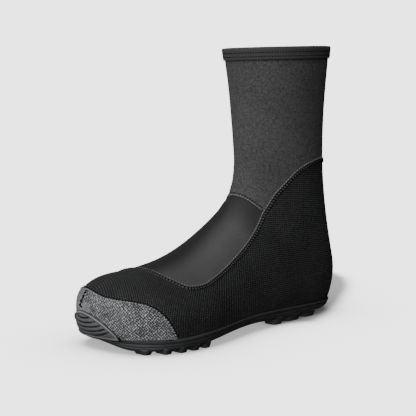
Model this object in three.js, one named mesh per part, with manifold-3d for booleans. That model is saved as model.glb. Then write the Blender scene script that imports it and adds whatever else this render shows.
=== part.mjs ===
// A left cycling overshoe with a lugged rubber sole, in millimetres.
// +X runs to the toe, +Y to the outer (lateral) side and +Z up from the floor.
// Every curved piece is worked out from one function, bodyPoint, the outside of the fabric upper.

import * as THREE from 'three';
import Module from 'manifold-3d';
import { mergeVertices } from 'three/addons/utils/BufferGeometryUtils.js';

const wasm = await Module();
wasm.setup();

// Driving sizes of the last
const lastLength = 302;      // heel to toe, outside the upper
const ballWidth = 109;       // across the ball of the foot, outside the upper
const instepHeight = 120;    // floor to the bend at the front of the ankle
const collarHeight = 263;    // floor to the front of the collar
const collarWidth = 98;      // across the collar
const toeDepth = 50;         // how far back from the tip the toe rounds off
const featherHeight = 12;    // floor to the line where fabric meets sole, under the arch

// Driving sizes of the pieces
const wall = 2.5;            // fabric and lining of the upper
const clearance = 0.3;       // between two pieces that meet
const facetSag = 0.15;       // what flat facets take from a curved clearance
const bendSag = 0.45;        // what they take of it where a seam crosses the hollow of the ankle
const capThickness = 1;      // rough fabric over the toe
const guardThickness = 1.8;  // ribbed rubber on the toe tip
const guardRim = 0.9;        // how far its rim stands above its ribs
const guardRimWidth = 2.6;
const guardLateralWidth = 37.5;  // its middle to its end on the outer side
const guardMedialWidth = 25;     // and on the inner side, where the toe turns sooner
const guardHeight = 21.5;      // its middle above its ends
const ribPitch = 3.65;       // between two grooves of the guard
const grooveWidth = 1.3;
const grooveDepth = 1.1;
const bindingThickness = 1.1;
const bindingDepth = 10.5;   // how far the collar binding reaches down outside
const bindingLining = 8;     // and down inside
const seamWidth = 3.2;
const seamThickness = 0.6;
const seamCrown = 0.8;       // share of its width that its flat top has
const beadHeight = 2.1;      // sole lip above the feather line
const beadWidth = 1.7;
const beadRound = 0.1;       // how far the lip's middle stands above its two edges
const archThickness = 5.5;   // sole plate under the arch
const lugTaper = 1.2;        // how much a lug narrows to its foot, on each side
const lugWidth = 17;         // from the sole's edge inward
const lugGap = 3.6;          // between two lugs of the forefoot
const lugSlant = 12;         // lugs of the forefoot ahead of the middle outside, behind it inside

// Mesh fineness
const aroundSteps = 38;
const toeRings = 7;
const bodyRings = 26;
const ankleCrowding = 0.35;    // how much closer the rings lie round ankle and heel
const outlineSteps = 54;
const guardSteps = 8;
const edgeSteps = 14;          // along each drawn edge of the toe fabric
const featherSteps = 46;
const toeCrowding = 1.6;       // how much closer they lie towards the toe
const fineSteps = 1200;        // when a curve is measured before it is cut into even steps
const halvings = 40;           // when a crossing is searched for
const seamStep = 7.5;

// Sections of the foot, toe to ankle. A section is cut from its top point to its keel point.
// topX, keelX are shares of lastLength; topZ, keelZ of instepHeight; topY, lateral and medial
// of ballWidth. belly is the height of the widest place in the section, as a share of it.
const footColumns = [
  'topX', 'topZ', 'topY', 'keelX', 'keelZ', 'lateral', 'medial', 'belly', 'topPower', 'keelPower',
];
const uprightRows = 4;       // the first rows, each with its top straight above its keel
const footSections = [
  [1.000, 0.508, -0.110, 1.000, 0.050, 0.385, 0.422, 0.48, 2.6, 3.2],
  [0.911, 0.528, -0.101, 0.911, -0.033, 0.459, 0.440, 0.45, 2.4, 3.4],
  [0.828, 0.537, -0.092, 0.828, -0.067, 0.509, 0.468, 0.42, 2.2, 3.6],
  [0.745, 0.560, -0.083, 0.745, -0.083, 0.514, 0.486, 0.40, 2.1, 3.6],
  [0.662, 0.615, -0.073, 0.662, -0.083, 0.486, 0.472, 0.38, 2.0, 3.4],
  [0.589, 0.702, -0.064, 0.570, -0.067, 0.436, 0.422, 0.34, 1.95, 3.2],
  [0.529, 0.804, -0.050, 0.470, -0.050, 0.394, 0.376, 0.33, 1.9, 3.0],
  [0.480, 0.895, -0.037, 0.364, -0.042, 0.376, 0.358, 0.32, 1.9, 3.0],
  [0.438, 0.988, -0.028, 0.252, -0.033, 0.376, 0.358, 0.32, 1.9, 2.8],
];

// Sections of the shaft, ankle to collar, from a front point to a back point. frontX and backX
// are shares of lastLength; frontZ of the rise from instep to collar; backZ of collarHeight;
// lateral and medial of collarWidth.
const shaftColumns = [
  'frontX', 'frontZ', 'frontY', 'backX', 'backZ', 'lateral', 'medial', 'belly', 'frontPower', 'backPower',
];
const shaftSections = [
  [0.408, 0.077, -0.020, 0.142, -0.011, 0.423, 0.398, 0.33, 1.95, 2.7],
  [0.393, 0.192, -0.010, 0.040, 0.015, 0.423, 0.398, 0.36, 2.0, 2.5],
  [0.388, 0.322, 0, 0.000, 0.118, 0.418, 0.393, 0.40, 2.05, 2.3],
  [0.387, 0.441, 0, 0.017, 0.236, 0.418, 0.393, 0.45, 2.05, 2.2],
  [0.387, 0.545, 0, 0.035, 0.357, 0.418, 0.393, 0.48, 2.1, 2.1],
  [0.387, 0.636, 0, 0.052, 0.506, 0.423, 0.408, 0.50, 2.1, 2.1],
  [0.390, 0.748, 0, 0.058, 0.654, 0.439, 0.429, 0.50, 2.1, 2.1],
  [0.395, 0.867, 0, 0.057, 0.825, 0.469, 0.459, 0.50, 2.1, 2.1],
  [0.405, 1.000, 0, 0.047, 1.015, 0.505, 0.495, 0.50, 2.1, 2.1],
];

// The toe closes round one point, and leans back towards the small toes.
const toeCentreZ = 0.25;     // share of instepHeight
const toeCentreY = -0.110;   // share of ballWidth
const toePower = 2.5;
const toeLean = 0.06;
const toeLeanFade = 1.2;     // share of toeDepth over which the lean comes in

// Feather line, heel to toe: x as a share of lastLength, rise as a share of featherHeight.
const featherLine = [
  { x: -0.20, rise: 0.82 }, { x: 0.00, rise: 0.85 }, { x: 0.12, rise: 0.90 }, { x: 0.26, rise: 1.02 },
  { x: 0.40, rise: 1.12 }, { x: 0.54, rise: 1.15 }, { x: 0.66, rise: 1.08 }, { x: 0.78, rise: 0.98 },
  { x: 0.88, rise: 0.90 }, { x: 0.94, rise: 0.92 }, { x: 0.98, rise: 0.86 }, { x: 1.05, rise: 0.70 },
];

// Underside of the sole plate along the middle: x as a share of lastLength, rise as a share of
// featherHeight. The toe spring starts sooner on the inner side.
const springSlant = 0.22;    // mm that a level of the underside moves on for each mm outward
const undersideLine = [
  { x: -0.20, rise: 0.66 }, { x: 0.00, rise: 0.62 }, { x: 0.06, rise: 0.48 }, { x: 0.14, rise: 0.42 },
  { x: 0.30, rise: 0.44 }, { x: 0.42, rise: 0.60 }, { x: 0.54, rise: 0.64 }, { x: 0.66, rise: 0.48 },
  { x: 0.73, rise: 0.33 }, { x: 0.86, rise: 0.27 }, { x: 0.92, rise: 0.24 }, { x: 0.945, rise: 0.36 },
  { x: 0.967, rise: 0.64 }, { x: 0.985, rise: 0.76 }, { x: 1.05, rise: 0.85 },
];

// Side of the sole from the lip down. out is from the feather line as a share of beadWidth, and
// level is 1 at the feather line and 0 at the underside.
const soleSide = [
  { out: 1.24, level: 0.92 }, { out: 0.82, level: 0.84 }, { out: 0.94, level: 0.60 },
  { out: 0.53, level: 0.54 }, { out: 0.59, level: 0.28 }, { out: 0.12, level: 0.22 },
  { out: -0.35, level: 0.04 }, { out: -1.18, level: 0 },
];
// Round the toe tip the lip draws in, under the guard.
const lipTip = { from: 0.935, run: 0.035, loss: 0.7 };  // shares of lastLength, and of the lip
const plateCover = 0.365;    // share of archThickness that the plate keeps under the feather line
const lipMiddle = 0.45;      // share of beadHeight where the lip is widest

// Lugs on each side of the sole: x and length are shares of lastLength.
const heelLugs = [
  { x: 0.350, length: 0.052, width: 1.0 }, { x: 0.268, length: 0.084, width: 1.1 },
  { x: 0.178, length: 0.072, width: 1.1 },
];
const foreLugs = { from: 0.682, to: 0.895, count: 5 };
const lugCorner = 0.22;      // share of a lug's length cut off its corners
const lugRoot = 0.35;        // share of archThickness that a lug reaches into the plate

// Seam round the side and back, from the vamp's middle to the heel's: places on the upper, along
// it as a share from the toe joint to the collar, and round it in degrees from its front.
const sideSeam = [
  { along: 0.024, around: 0 }, { along: 0.023, around: 15 }, { along: 0.025, around: 30 },
  { along: 0.038, around: 41 }, { along: 0.060, around: 48.5 }, { along: 0.107, around: 51.5 },
  { along: 0.158, around: 50.8 }, { along: 0.227, around: 50 }, { along: 0.297, around: 48.5 },
  { along: 0.360, around: 45 }, { along: 0.414, around: 41.5 }, { along: 0.460, around: 39.5 },
  { along: 0.521, around: 41.5 }, { along: 0.572, around: 47.5 }, { along: 0.623, around: 56.4 },
  { along: 0.689, around: 70.4 }, { along: 0.748, around: 86.7 }, { along: 0.783, around: 101 },
  { along: 0.808, around: 118 }, { along: 0.824, around: 138 }, { along: 0.832, around: 160 },
  { along: 0.835, around: 180 },
];
// Seam across the front of the ankle, between the two sides of the seam above.
const ankleSeam = [
  { along: 0.457, around: 36.9 }, { along: 0.451, around: 28.8 }, { along: 0.445, around: 19.2 },
  { along: 0.440, around: 10.2 }, { along: 0.437, around: 0 },
];

// Edge of the rough toe fabric, seen from the side and from the front. back is from the toe tip
// as a share of lastLength, side as a share of ballWidth, and up as a share of instepHeight.
const capSideEdge = [
  { back: 0.153, up: 0.060 }, { back: 0.145, up: 0.115 }, { back: 0.136, up: 0.171 },
  { back: 0.125, up: 0.225 }, { back: 0.111, up: 0.281 }, { back: 0.096, up: 0.328 },
  { back: 0.080, up: 0.356 }, { back: 0.066, up: 0.400 }, { back: 0.055, up: 0.470 },
];
const capFrontEdge = [
  { side: -0.60, up: 0.360 }, { side: -0.42, up: 0.398 }, { side: -0.24, up: 0.432 },
  { side: -0.145, up: 0.4255 }, { side: -0.03, up: 0.405 }, { side: 0.05, up: 0.395 },
  { side: 0.14, up: 0.3875 }, { side: 0.24, up: 0.379 }, { side: 0.31, up: 0.3655 },
  { side: 0.36, up: 0.349 }, { side: 0.42, up: 0.325 }, { side: 0.60, up: 0.270 },
];

// Toe guard: its middle and the height of its ends.
const guardMiddleY = -0.174;  // share of ballWidth
const guardEndsZ = 0.112;     // share of instepHeight
const guardPower = 1.6;
const guardBack = 0.9;        // how far back its region reaches, as a share of toeDepth
const firstGroove = 0.15;     // the lowest groove above its ends, in ribPitches
// Its grooves, bottom to top, each bent up to its ends: half width and rise in ribPitches.
const grooves = [
  { half: 8.3, rise: 1.72 }, { half: 7.35, rise: 1.30 }, { half: 6.1, rise: 0.96 },
  { half: 4.65, rise: 0.64 }, { half: 2.9, rise: 0.45 },
];

// A smooth curve through values at 0, 1, 2 and so on, or at the given places.
function smoothCurve(values, places = values.map((_, i) => i)) {
  const n = values.length;
  const step = places.slice(1).map((p, i) => p - places[i]);
  const bend = new Array(n).fill(0);
  const upper = new Array(n).fill(0);
  for (let i = 1; i < n - 1; i++) {
    const slopeAfter = (values[i + 1] - values[i]) / step[i];
    const slopeBefore = (values[i] - values[i - 1]) / step[i - 1];
    const pivot = 2 * (step[i - 1] + step[i]) - step[i - 1] * upper[i - 1];
    upper[i] = step[i] / pivot;
    bend[i] = (6 * (slopeAfter - slopeBefore) - step[i - 1] * bend[i - 1]) / pivot;
  }
  for (let i = n - 2; i > 0; i--) bend[i] -= upper[i] * bend[i + 1];
  return (place) => {
    let i = 0;
    while (i < n - 2 && place > places[i + 1]) i++;
    const a = (places[i + 1] - place) / step[i];
    const b = (place - places[i]) / step[i];
    const sag = ((a ** 3 - a) * bend[i] + (b ** 3 - b) * bend[i + 1]) * step[i] ** 2 / 6;
    return a * values[i] + b * values[i + 1] + sag;
  };
}

// The two tables as one list of sections in millimetres.
function sectionRows() {
  const named = (columns) => (row) => Object.fromEntries(columns.map((name, i) => [name, row[i]]));
  const foot = footSections.map(named(footColumns)).map((s) => ({
    topX: s.topX * lastLength, topZ: s.topZ * instepHeight, topY: s.topY * ballWidth,
    keelX: s.keelX * lastLength, keelZ: s.keelZ * instepHeight,
    lateral: s.lateral * ballWidth, medial: s.medial * ballWidth,
    belly: s.belly, topPower: s.topPower, keelPower: s.keelPower,
  }));
  const rise = collarHeight - instepHeight;
  const shaft = shaftSections.map(named(shaftColumns)).map((s) => ({
    topX: s.frontX * lastLength, topZ: instepHeight + s.frontZ * rise, topY: s.frontY * collarWidth,
    keelX: s.backX * lastLength, keelZ: s.backZ * collarHeight,
    lateral: s.lateral * collarWidth, medial: s.medial * collarWidth,
    belly: s.belly, topPower: s.frontPower, keelPower: s.backPower,
  }));
  return [...foot, ...shaft];
}

const rows = sectionRows();
const lastRow = rows.length - 1;
const curves = Object.fromEntries(Object.keys(rows[0]).map((key) => (
  [key, smoothCurve(rows.map((row) => row[key]))])));
const featherShare = smoothCurve(featherLine.map((p) => p.rise), featherLine.map((p) => p.x));
const undersideShare = smoothCurve(undersideLine.map((p) => p.rise), undersideLine.map((p) => p.x));
const featherAt = (x) => featherShare(x / lastLength) * featherHeight;
const undersideAt = (x, y) => {
  const shaped = undersideShare((x - springSlant * y) / lastLength) * featherHeight;
  return Math.min(shaped, featherAt(x) - plateCover * archThickness);
};

// The row number whose top lies at x, in front of the ankle.
function rowAtX(x) {
  let low = 0;
  let high = uprightRows;
  for (let i = 0; i < halvings; i++) {
    const middle = (low + high) / 2;
    if (curves.topX(middle) > x) low = middle;
    else high = middle;
  }
  return low;
}
const toeJointX = lastLength - toeDepth;
const toeJointRow = rowAtX(toeJointX);

// A point of one section: a superellipse whose halves have their own powers and half widths.
function sectionPoint(row, around) {
  const s = Object.fromEntries(Object.entries(curves).map(([key, curve]) => [key, curve(row)]));
  const upward = Math.cos(around);
  const outward = Math.sin(around);
  const power = upward >= 0 ? s.topPower : s.keelPower;
  const reach = Math.abs(upward) ** (2 / power);
  const level = upward >= 0 ? s.belly + (1 - s.belly) * reach : s.belly - s.belly * reach;
  const fromBelly = upward >= 0 ? reach : -reach;
  const middleY = (s.lateral - s.medial) / 2;
  const ridgeY = upward >= 0 ? s.topY : middleY;
  const y = middleY + (ridgeY - middleY) * fromBelly ** 2
    + Math.sign(outward) * (s.lateral + s.medial) / 2 * Math.abs(outward) ** (2 / power);
  return new THREE.Vector3(
    s.keelX + level * (s.topX - s.keelX), y, s.keelZ + level * (s.topZ - s.keelZ));
}

// The outside of the upper. along is -1 at the toe tip, 0 at the toe joint and 1 at the collar;
// around is 0 at the front or top and half a turn at the keel or back.
function surfacePoint(along, around) {
  const centreY = toeCentreY * ballWidth;
  if (along >= 0) {
    const p = sectionPoint(toeJointRow + along * (lastRow - toeJointRow), around);
    const fade = (p.x - toeJointX) / (toeLeanFade * toeDepth) + 1;
    p.x -= toeLean * THREE.MathUtils.clamp(fade, 0, 1) * (p.y - centreY);
    return p;
  }
  const centreZ = toeCentreZ * instepHeight;
  const turn = (1 + Math.max(along, -1)) * Math.PI / 2;
  const x = lastLength - toeDepth * (1 - Math.cos(turn));
  const spread = (1 - Math.cos(turn) ** toePower) ** (1 / toePower);
  const p = sectionPoint(rowAtX(x), around);
  const y = centreY + (p.y - centreY) * spread;
  return new THREE.Vector3(x - toeLean * (y - centreY), y, centreZ + (p.z - centreZ) * spread);
}

// The way out of the surface at a place.
function surfaceNormal(along, around) {
  const step = 0.004;
  const low = Math.max(along, -1 + 2 * step);
  const alongWay = surfacePoint(low + step, around).sub(surfacePoint(low - step, around));
  const aroundWay = surfacePoint(low, around + step).sub(surfacePoint(low, around - step));
  return aroundWay.cross(alongWay).normalize();
}

// A point held off the surface by some millimetres, inside it when negative.
function bodyPoint(along, around, off = 0) {
  if (along <= -1) return surfacePoint(-1, around).add(new THREE.Vector3(off, 0, 0));
  const p = surfacePoint(along, around);
  return off === 0 ? p : p.addScaledVector(surfaceNormal(along, around), off);
}

// A closed solid through a stack of rings, each a list of points of one length, with the ends
// closed by strips from side to side or by a point.
function stackSolid(rings, tip = null) {
  const n = rings[0].length;
  const points = rings.flat();
  const faces = [];
  for (let r = 0; r < rings.length - 1; r++) {
    for (let i = 0; i < n; i++) {
      const a = r * n + i;
      const b = r * n + (i + 1) % n;
      faces.push([a + n, b + n, b], [a + n, b, a]);
    }
  }
  const closeEnd = (base, flip) => {
    for (let i = 0; i < n / 2; i++) {
      const left = [base + i, base + i + 1];
      const right = [base + (n - i - 1) % n, base + (n - i) % n];
      const pair = [[left[0], left[1], right[0]], [left[0], right[0], right[1]]];
      pair.filter((f) => new Set(f).size === 3).forEach((f) => faces.push(flip ? f.reverse() : f));
    }
  };
  closeEnd((rings.length - 1) * n, true);
  if (tip) {
    points.push(tip);
    for (let i = 0; i < n; i++) faces.push([i, (i + 1) % n, points.length - 1]);
  } else {
    closeEnd(0, false);
  }
  return solidFrom(points, faces);
}

function solidFrom(points, faces) {
  return new wasm.Manifold(new wasm.Mesh({
    numProp: 3,
    vertProperties: new Float32Array(points.flatMap((p) => [p.x, p.y, p.z])),
    triVerts: new Uint32Array(faces.flat()),
  }));
}

function solidOf(geometry) {
  geometry.deleteAttribute('normal');
  geometry.deleteAttribute('uv');
  const merged = mergeVertices(geometry, 1e-4);
  return new wasm.Manifold(new wasm.Mesh({
    numProp: 3,
    vertProperties: new Float32Array(merged.attributes.position.array),
    triVerts: new Uint32Array(merged.index.array),
  }));
}

// The whole body held off its surface, past the collar by some millimetres.
function bodySolid(off, pastCollar = 0) {
  const alongs = [];
  for (let k = 1; k < toeRings; k++) alongs.push(-1 + k / toeRings);
  for (let k = 0; k <= bodyRings; k++) {
    const even = k / bodyRings;
    alongs.push(even + ankleCrowding * Math.sin(2 * Math.PI * even) / (2 * Math.PI));
  }
  const ring = (place) => Array.from({ length: aroundSteps }, (_, i) => (
    place(-i / aroundSteps * 2 * Math.PI)));
  const rings = alongs.map((along) => ring((around) => bodyPoint(along, around, off)));
  if (pastCollar > 0) rings.push(ring((around) => collarPoint(around, off, pastCollar)));
  return stackSolid(rings, bodyPoint(-1, 0, off));
}

// A point by the collar, held off the surface and above or below the rim of the upper.
function collarPoint(around, off, rise) {
  const step = 0.01;
  const rim = surfacePoint(1, around);
  const below = surfacePoint(1 - step, around);
  const rate = rim.distanceTo(below) / step;
  if (rise <= 0) return bodyPoint(1 + rise / rate, around, off);
  return bodyPoint(1, around, off).addScaledVector(rim.sub(below).normalize(), rise);
}

// A prism from a side view or a front view, wider than the shoe.
function sidePrism(outline) {
  const shape = new THREE.Shape(outline.map(([x, z]) => new THREE.Vector2(x, z)));
  const reach = 2 * ballWidth;
  const geometry = new THREE.ExtrudeGeometry(shape, { depth: reach, bevelEnabled: false });
  return solidOf(geometry.rotateX(Math.PI / 2).translate(0, reach / 2, 0));
}
function frontPrism(outline, fromX) {
  const shape = new THREE.Shape(outline.map(([y, z]) => new THREE.Vector2(y, z)));
  const geometry = new THREE.ExtrudeGeometry(shape, { depth: lastLength, bevelEnabled: false });
  geometry.applyMatrix4(new THREE.Matrix4().makeBasis(
    new THREE.Vector3(0, 1, 0), new THREE.Vector3(0, 0, 1), new THREE.Vector3(1, 0, 0)));
  return solidOf(geometry.translate(fromX, 0, 0));
}

// Everything below the feather line raised by some millimetres.
function belowFeather(rise) {
  const from = -toeDepth;
  const to = lastLength + 0.25 * toeDepth;
  const top = Array.from({ length: featherSteps + 1 }, (_, i) => {
    const x = to - (to - from) * (1 - i / featherSteps) ** toeCrowding;
    return [x, featherAt(x) + rise];
  });
  return sidePrism([[from, -collarHeight], [to, -collarHeight], ...top.reverse()]);
}

// The line on the body at a height above the feather line, in even steps from the toe tip along
// the lateral side to the heel and back along the medial side.
function featherOutline(rise) {
  const samples = 2.5 * outlineSteps;
  const heelTop = 0.75;      // along, above the heel's crossing
  const heelKeel = 0.4;      // along, below it
  const toeKeel = -0.3;      // along, below the toe's crossing
  const widest = 0.42 * Math.PI;
  const half = (side) => {
    const line = [];
    for (let k = 1; k < samples; k++) {
      const along = -1 + (1 + heelTop) * k / samples;
      const over = (around) => {
        const p = surfacePoint(along, side * around);
        return p.z - featherAt(p.x) - rise;
      };
      let low = widest;
      let high = Math.PI;
      if (over(low) < 0 || over(high) > 0) continue;
      for (let i = 0; i < halvings; i++) {
        const middle = (low + high) / 2;
        if (over(middle) > 0) low = middle;
        else high = middle;
      }
      line.push(surfacePoint(along, side * low));
    }
    return line;
  };
  const keelCrossing = (clear, sunk) => {
    let [high, low] = [clear, sunk];
    for (let i = 0; i < halvings; i++) {
      const middle = (high + low) / 2;
      const p = surfacePoint(middle, Math.PI);
      if (p.z > featherAt(p.x) + rise) high = middle;
      else low = middle;
    }
    return surfacePoint(high, Math.PI);
  };
  const line = [
    keelCrossing(-1, toeKeel), ...half(1), keelCrossing(heelTop, heelKeel), ...half(-1).reverse(),
  ];
  const loop = new THREE.CatmullRomCurve3(line, true, 'centripetal');
  loop.arcLengthDivisions = fineSteps;
  const even = loop.getSpacedPoints(fineSteps).slice(0, -1);
  const tip = even.reduce((best, p, i) => (p.x > even[best].x ? i : best), 0);
  const heel = even.reduce((best, p, i) => (p.x < even[best].x ? i : best), 0);
  const pick = (from, to, count) => Array.from({ length: count }, (_, i) => (
    even[Math.round(from + (to - from) * i / count + even.length) % even.length].clone()));
  const turnBack = heel > tip ? heel : heel + even.length;
  const side = outlineSteps / 2;
  return [...pick(tip, turnBack, side), ...pick(turnBack, tip + even.length, side)];
}

// An outline moved outward in plan, by what a straight step cuts off its curve, and by the lip,
// which draws in round the toe tip.
function spreadOutline(outline, out, lip = 0) {
  const n = outline.length;
  return outline.map((p, i) => {
    const [next, last] = [outline[(i + 1) % n], outline[(i + n - 1) % n]];
    const way = next.clone().sub(last).setZ(0).normalize();
    const cutOff = next.clone().add(last).multiplyScalar(0.5).distanceTo(p) / 4;
    const place = (p.x - springSlant * p.y) / lastLength;
    const tip = THREE.MathUtils.smoothstep(place, lipTip.from, lipTip.from + lipTip.run);
    const reach = out + cutOff + lip * (1 - lipTip.loss * tip);
    return new THREE.Vector3(p.x + way.y * reach, p.y - way.x * reach, p.z);
  });
}

const feather = featherOutline(0);

function makeUpper() {
  return bodySolid(0).subtract(bodySolid(-wall, 3 * wall)).subtract(belowFeather(0));
}

// A tapered block standing on the floor under the sole's edge.
function lugSolid(from, to, side, width) {
  const middle = (from + to) / 2;
  const edge = feather.filter((p) => Math.sign(p.y) === side)
    .reduce((best, p) => (Math.abs(p.x - middle) < Math.abs(best.x - middle) ? p : best));
  const outer = Math.abs(edge.y);
  const inner = outer - width;
  const top = undersideAt(middle, edge.y) + lugRoot * archThickness;
  const corner = lugCorner * (to - from);
  const block = (grow) => [
    [from - grow, inner + corner - grow], [from - grow, outer - corner + grow],
    [from + corner, outer + grow], [to - corner, outer + grow],
    [to + grow, outer - corner + grow], [to + grow, inner + corner - grow],
    [to - corner, inner - grow], [from + corner, inner - grow],
  ];
  const ring = (grow, z) => {
    const points = block(grow).map(([x, y]) => new THREE.Vector3(x, side * y, z));
    return side > 0 ? points.reverse() : points;
  };
  return stackSolid([ring(0, top), ring(0, 0.5 * top), ring(-lugTaper, 0)]);
}

function makeSole() {
  const hold = clearance + facetSag;
  const above = featherOutline(beadHeight);
  const midBead = featherOutline(lipMiddle * beadHeight);
  const raise = (outline, z) => outline.map((p) => new THREE.Vector3(p.x, p.y, p.z + z));
  const rings = [
    raise(spreadOutline(feather, hold), -clearance),
    raise(spreadOutline(midBead, hold), 0),
    raise(spreadOutline(above, hold), -beadRound),
    raise(spreadOutline(above, hold, 0.5 * beadWidth), beadRound),
    raise(spreadOutline(midBead, hold, beadWidth), 2 * beadRound),
  ];
  for (const { out, level } of soleSide) {
    rings.push(spreadOutline(feather, 0, out * beadWidth).map((p) => {
      const low = undersideAt(p.x, p.y);
      return new THREE.Vector3(p.x, p.y, low + level * (featherAt(p.x) - low));
    }));
  }
  let sole = stackSolid(rings);
  for (const side of [1, -1]) {
    for (const { x, length, width } of heelLugs) {
      const from = (x - length / 2) * lastLength;
      sole = sole.add(lugSolid(from, from + length * lastLength, side, width * lugWidth));
    }
    const pitch = ((foreLugs.to - foreLugs.from) * lastLength + lugGap) / foreLugs.count;
    for (let k = 0; k < foreLugs.count; k++) {
      const from = foreLugs.from * lastLength + k * pitch + side * lugSlant;
      sole = sole.add(lugSolid(from, from + pitch - lugGap, side, lugWidth));
    }
  }
  return sole;
}

// A skin over the upper between two heights above it.
function skin(from, to) {
  return bodySolid(to).subtract(bodySolid(from));
}
const skinBase = clearance + facetSag;
const overBead = beadHeight + beadRound + clearance;

// The guard's outline from the front, grown or shrunk.
function guardOutline(grow) {
  const middle = guardMiddleY * ballWidth;
  const base = guardEndsZ * instepHeight;
  const half = (side) => (side > 0 ? guardLateralWidth : guardMedialWidth) + grow;
  const arch = Array.from({ length: guardSteps + 1 }, (_, i) => {
    const turn = Math.PI * i / guardSteps;
    const side = Math.sign(Math.cos(turn));
    return [middle + side * half(side) * Math.abs(Math.cos(turn)) ** (2 / guardPower),
      base + (guardHeight + grow) * Math.sin(turn) ** (2 / guardPower)];
  });
  return [...arch, [middle - half(-1), -base], [middle + half(1), -base]];
}
function guardRegion(grow) {
  return frontPrism(guardOutline(grow), lastLength - guardBack * toeDepth);
}

function makeToeCap() {
  const edge = (points) => new THREE.SplineCurve(points).getPoints(edgeSteps).map((p) => [p.x, p.y]);
  const side = edge(capSideEdge.map((p) => (
    new THREE.Vector2(lastLength * (1 - p.back), p.up * instepHeight))));
  const front = edge(capFrontEdge.map((p) => (
    new THREE.Vector2(p.side * ballWidth, p.up * instepHeight))));
  const ahead = lastLength + toeDepth;
  const [sideFoot, sideTop] = [side[0][0], side[edgeSteps][1]];
  const [frontLeft, frontRight] = [front[0][0], front[edgeSteps][0]];
  const sideRegion = sidePrism([
    [sideFoot, -instepHeight], [ahead, -instepHeight], [ahead, sideTop], ...side.reverse()]);
  const frontRegion = frontPrism([
    [frontLeft, -instepHeight], [frontRight, -instepHeight], ...front.reverse()], toeJointX - toeDepth);
  return skin(skinBase, skinBase + capThickness)
    .intersect(sideRegion).intersect(frontRegion)
    .subtract(guardRegion(clearance)).subtract(belowFeather(overBead));
}

// One groove of the guard, a band bent up to its ends.
function grooveBand({ half, rise }, z) {
  const middle = guardMiddleY * ballWidth;
  const steps = 3;
  const edge = (shift) => Array.from({ length: steps + 1 }, (_, i) => {
    const place = 2 * i / steps - 1;
    const reach = half * ribPitch * (place > 0 ? 1 : guardMedialWidth / guardLateralWidth);
    return [middle + place * reach, z + rise * ribPitch * place ** 2 + shift];
  });
  const outline = [...edge(-grooveWidth / 2), ...edge(grooveWidth / 2).reverse()];
  return frontPrism(outline, lastLength - guardBack * toeDepth);
}

function makeToeGuard() {
  const panel = skin(skinBase, skinBase + guardThickness).intersect(guardRegion(0));
  const rim = skin(skinBase, skinBase + guardThickness + guardRim)
    .intersect(guardRegion(0)).subtract(guardRegion(-guardRimWidth));
  const floorOfGroove = bodySolid(skinBase + guardThickness - grooveDepth);
  let guard = panel.add(rim).subtract(belowFeather(overBead));
  grooves.forEach((groove, k) => {
    const z = guardEndsZ * instepHeight + ribPitch * (k + firstGroove);
    guard = guard.subtract(grooveBand(groove, z).subtract(floorOfGroove));
  });
  return guard;
}

// The folded binding of the collar: outside the rim, over it and down inside.
function makeBinding() {
  const outer = skinBase;
  const inner = -wall - skinBase;
  const top = clearance + bindingThickness;
  const profile = [
    [outer, clearance], [outer, -bindingDepth], [outer + bindingThickness, -bindingDepth],
    [outer + bindingThickness, 0], [outer + 0.5 * bindingThickness, top],
    [inner - 0.5 * bindingThickness, top], [inner - bindingThickness, 0],
    [inner - bindingThickness, -bindingLining], [inner, -bindingLining], [inner, clearance],
  ];
  const n = profile.length;
  const points = [];
  const faces = [];
  for (let i = 0; i < aroundSteps; i++) {
    const around = i / aroundSteps * 2 * Math.PI;
    profile.forEach(([off, rise]) => points.push(collarPoint(around, off, rise)));
    for (let k = 0; k < n; k++) {
      const a = i * n + k;
      const b = i * n + (k + 1) % n;
      const c = (i + 1) % aroundSteps * n + k;
      const d = (i + 1) % aroundSteps * n + (k + 1) % n;
      faces.push([a, d, b], [a, c, d]);
    }
  }
  return solidFrom(points, faces);
}

// A flat raised strip on the upper along a list of places. A ring runs once round the shoe, so its
// last place is its first one a turn later.
function seamStrip(places, ring) {
  const path = new THREE.CatmullRomCurve3(places.map((p) => (
    new THREE.Vector3(p.along, THREE.MathUtils.degToRad(p.around), 0))), false, 'centripetal');
  const fine = path.getPoints(fineSteps).map((q) => bodyPoint(q.x, q.y));
  const run = [0];
  fine.slice(1).forEach((p, i) => run.push(run[i] + p.distanceTo(fine[i])));
  const total = run[fineSteps];
  const count = Math.round(total / seamStep);
  const placeAt = (distance) => {
    const wrapped = ring ? (distance + total) % total : THREE.MathUtils.clamp(distance, 0, total);
    const k = Math.min(fineSteps, Math.max(1, run.findIndex((r) => r >= wrapped)));
    return path.getPoint((k - 1 + (wrapped - run[k - 1]) / (run[k] - run[k - 1])) / fineSteps);
  };
  const points = [];
  const faces = [];
  const stations = ring ? count : count + 1;
  for (let i = 0; i < stations; i++) {
    const distance = total * i / count;
    const place = placeAt(distance);
    const [ahead, behind] = [seamThickness, -seamThickness].map((shift) => placeAt(distance + shift))
      .map((q) => bodyPoint(q.x, q.y));
    const normal = surfaceNormal(place.x, place.y);
    const sideways = normal.clone().cross(ahead.sub(behind)).setLength(seamWidth / 2);
    const base = bodyPoint(place.x, place.y, clearance + bendSag);
    const crown = base.clone().addScaledVector(normal, seamThickness);
    points.push(base.clone().sub(sideways), base.clone().add(sideways));
    points.push(crown.clone().addScaledVector(sideways, seamCrown),
      crown.clone().addScaledVector(sideways, -seamCrown));
  }
  for (let i = 0; i < (ring ? stations : stations - 1); i++) {
    for (let k = 0; k < 4; k++) {
      const [a, b] = [i * 4 + k, i * 4 + (k + 1) % 4];
      const [c, d] = [(i + 1) % stations * 4 + k, (i + 1) % stations * 4 + (k + 1) % 4];
      faces.push([a, d, c], [a, b, d]);
    }
  }
  if (!ring) {
    const last = (stations - 1) * 4;
    faces.push([0, 2, 1], [0, 3, 2], [last, last + 1, last + 2], [last, last + 2, last + 3]);
  }
  return solidFrom(points, faces);
}

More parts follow.
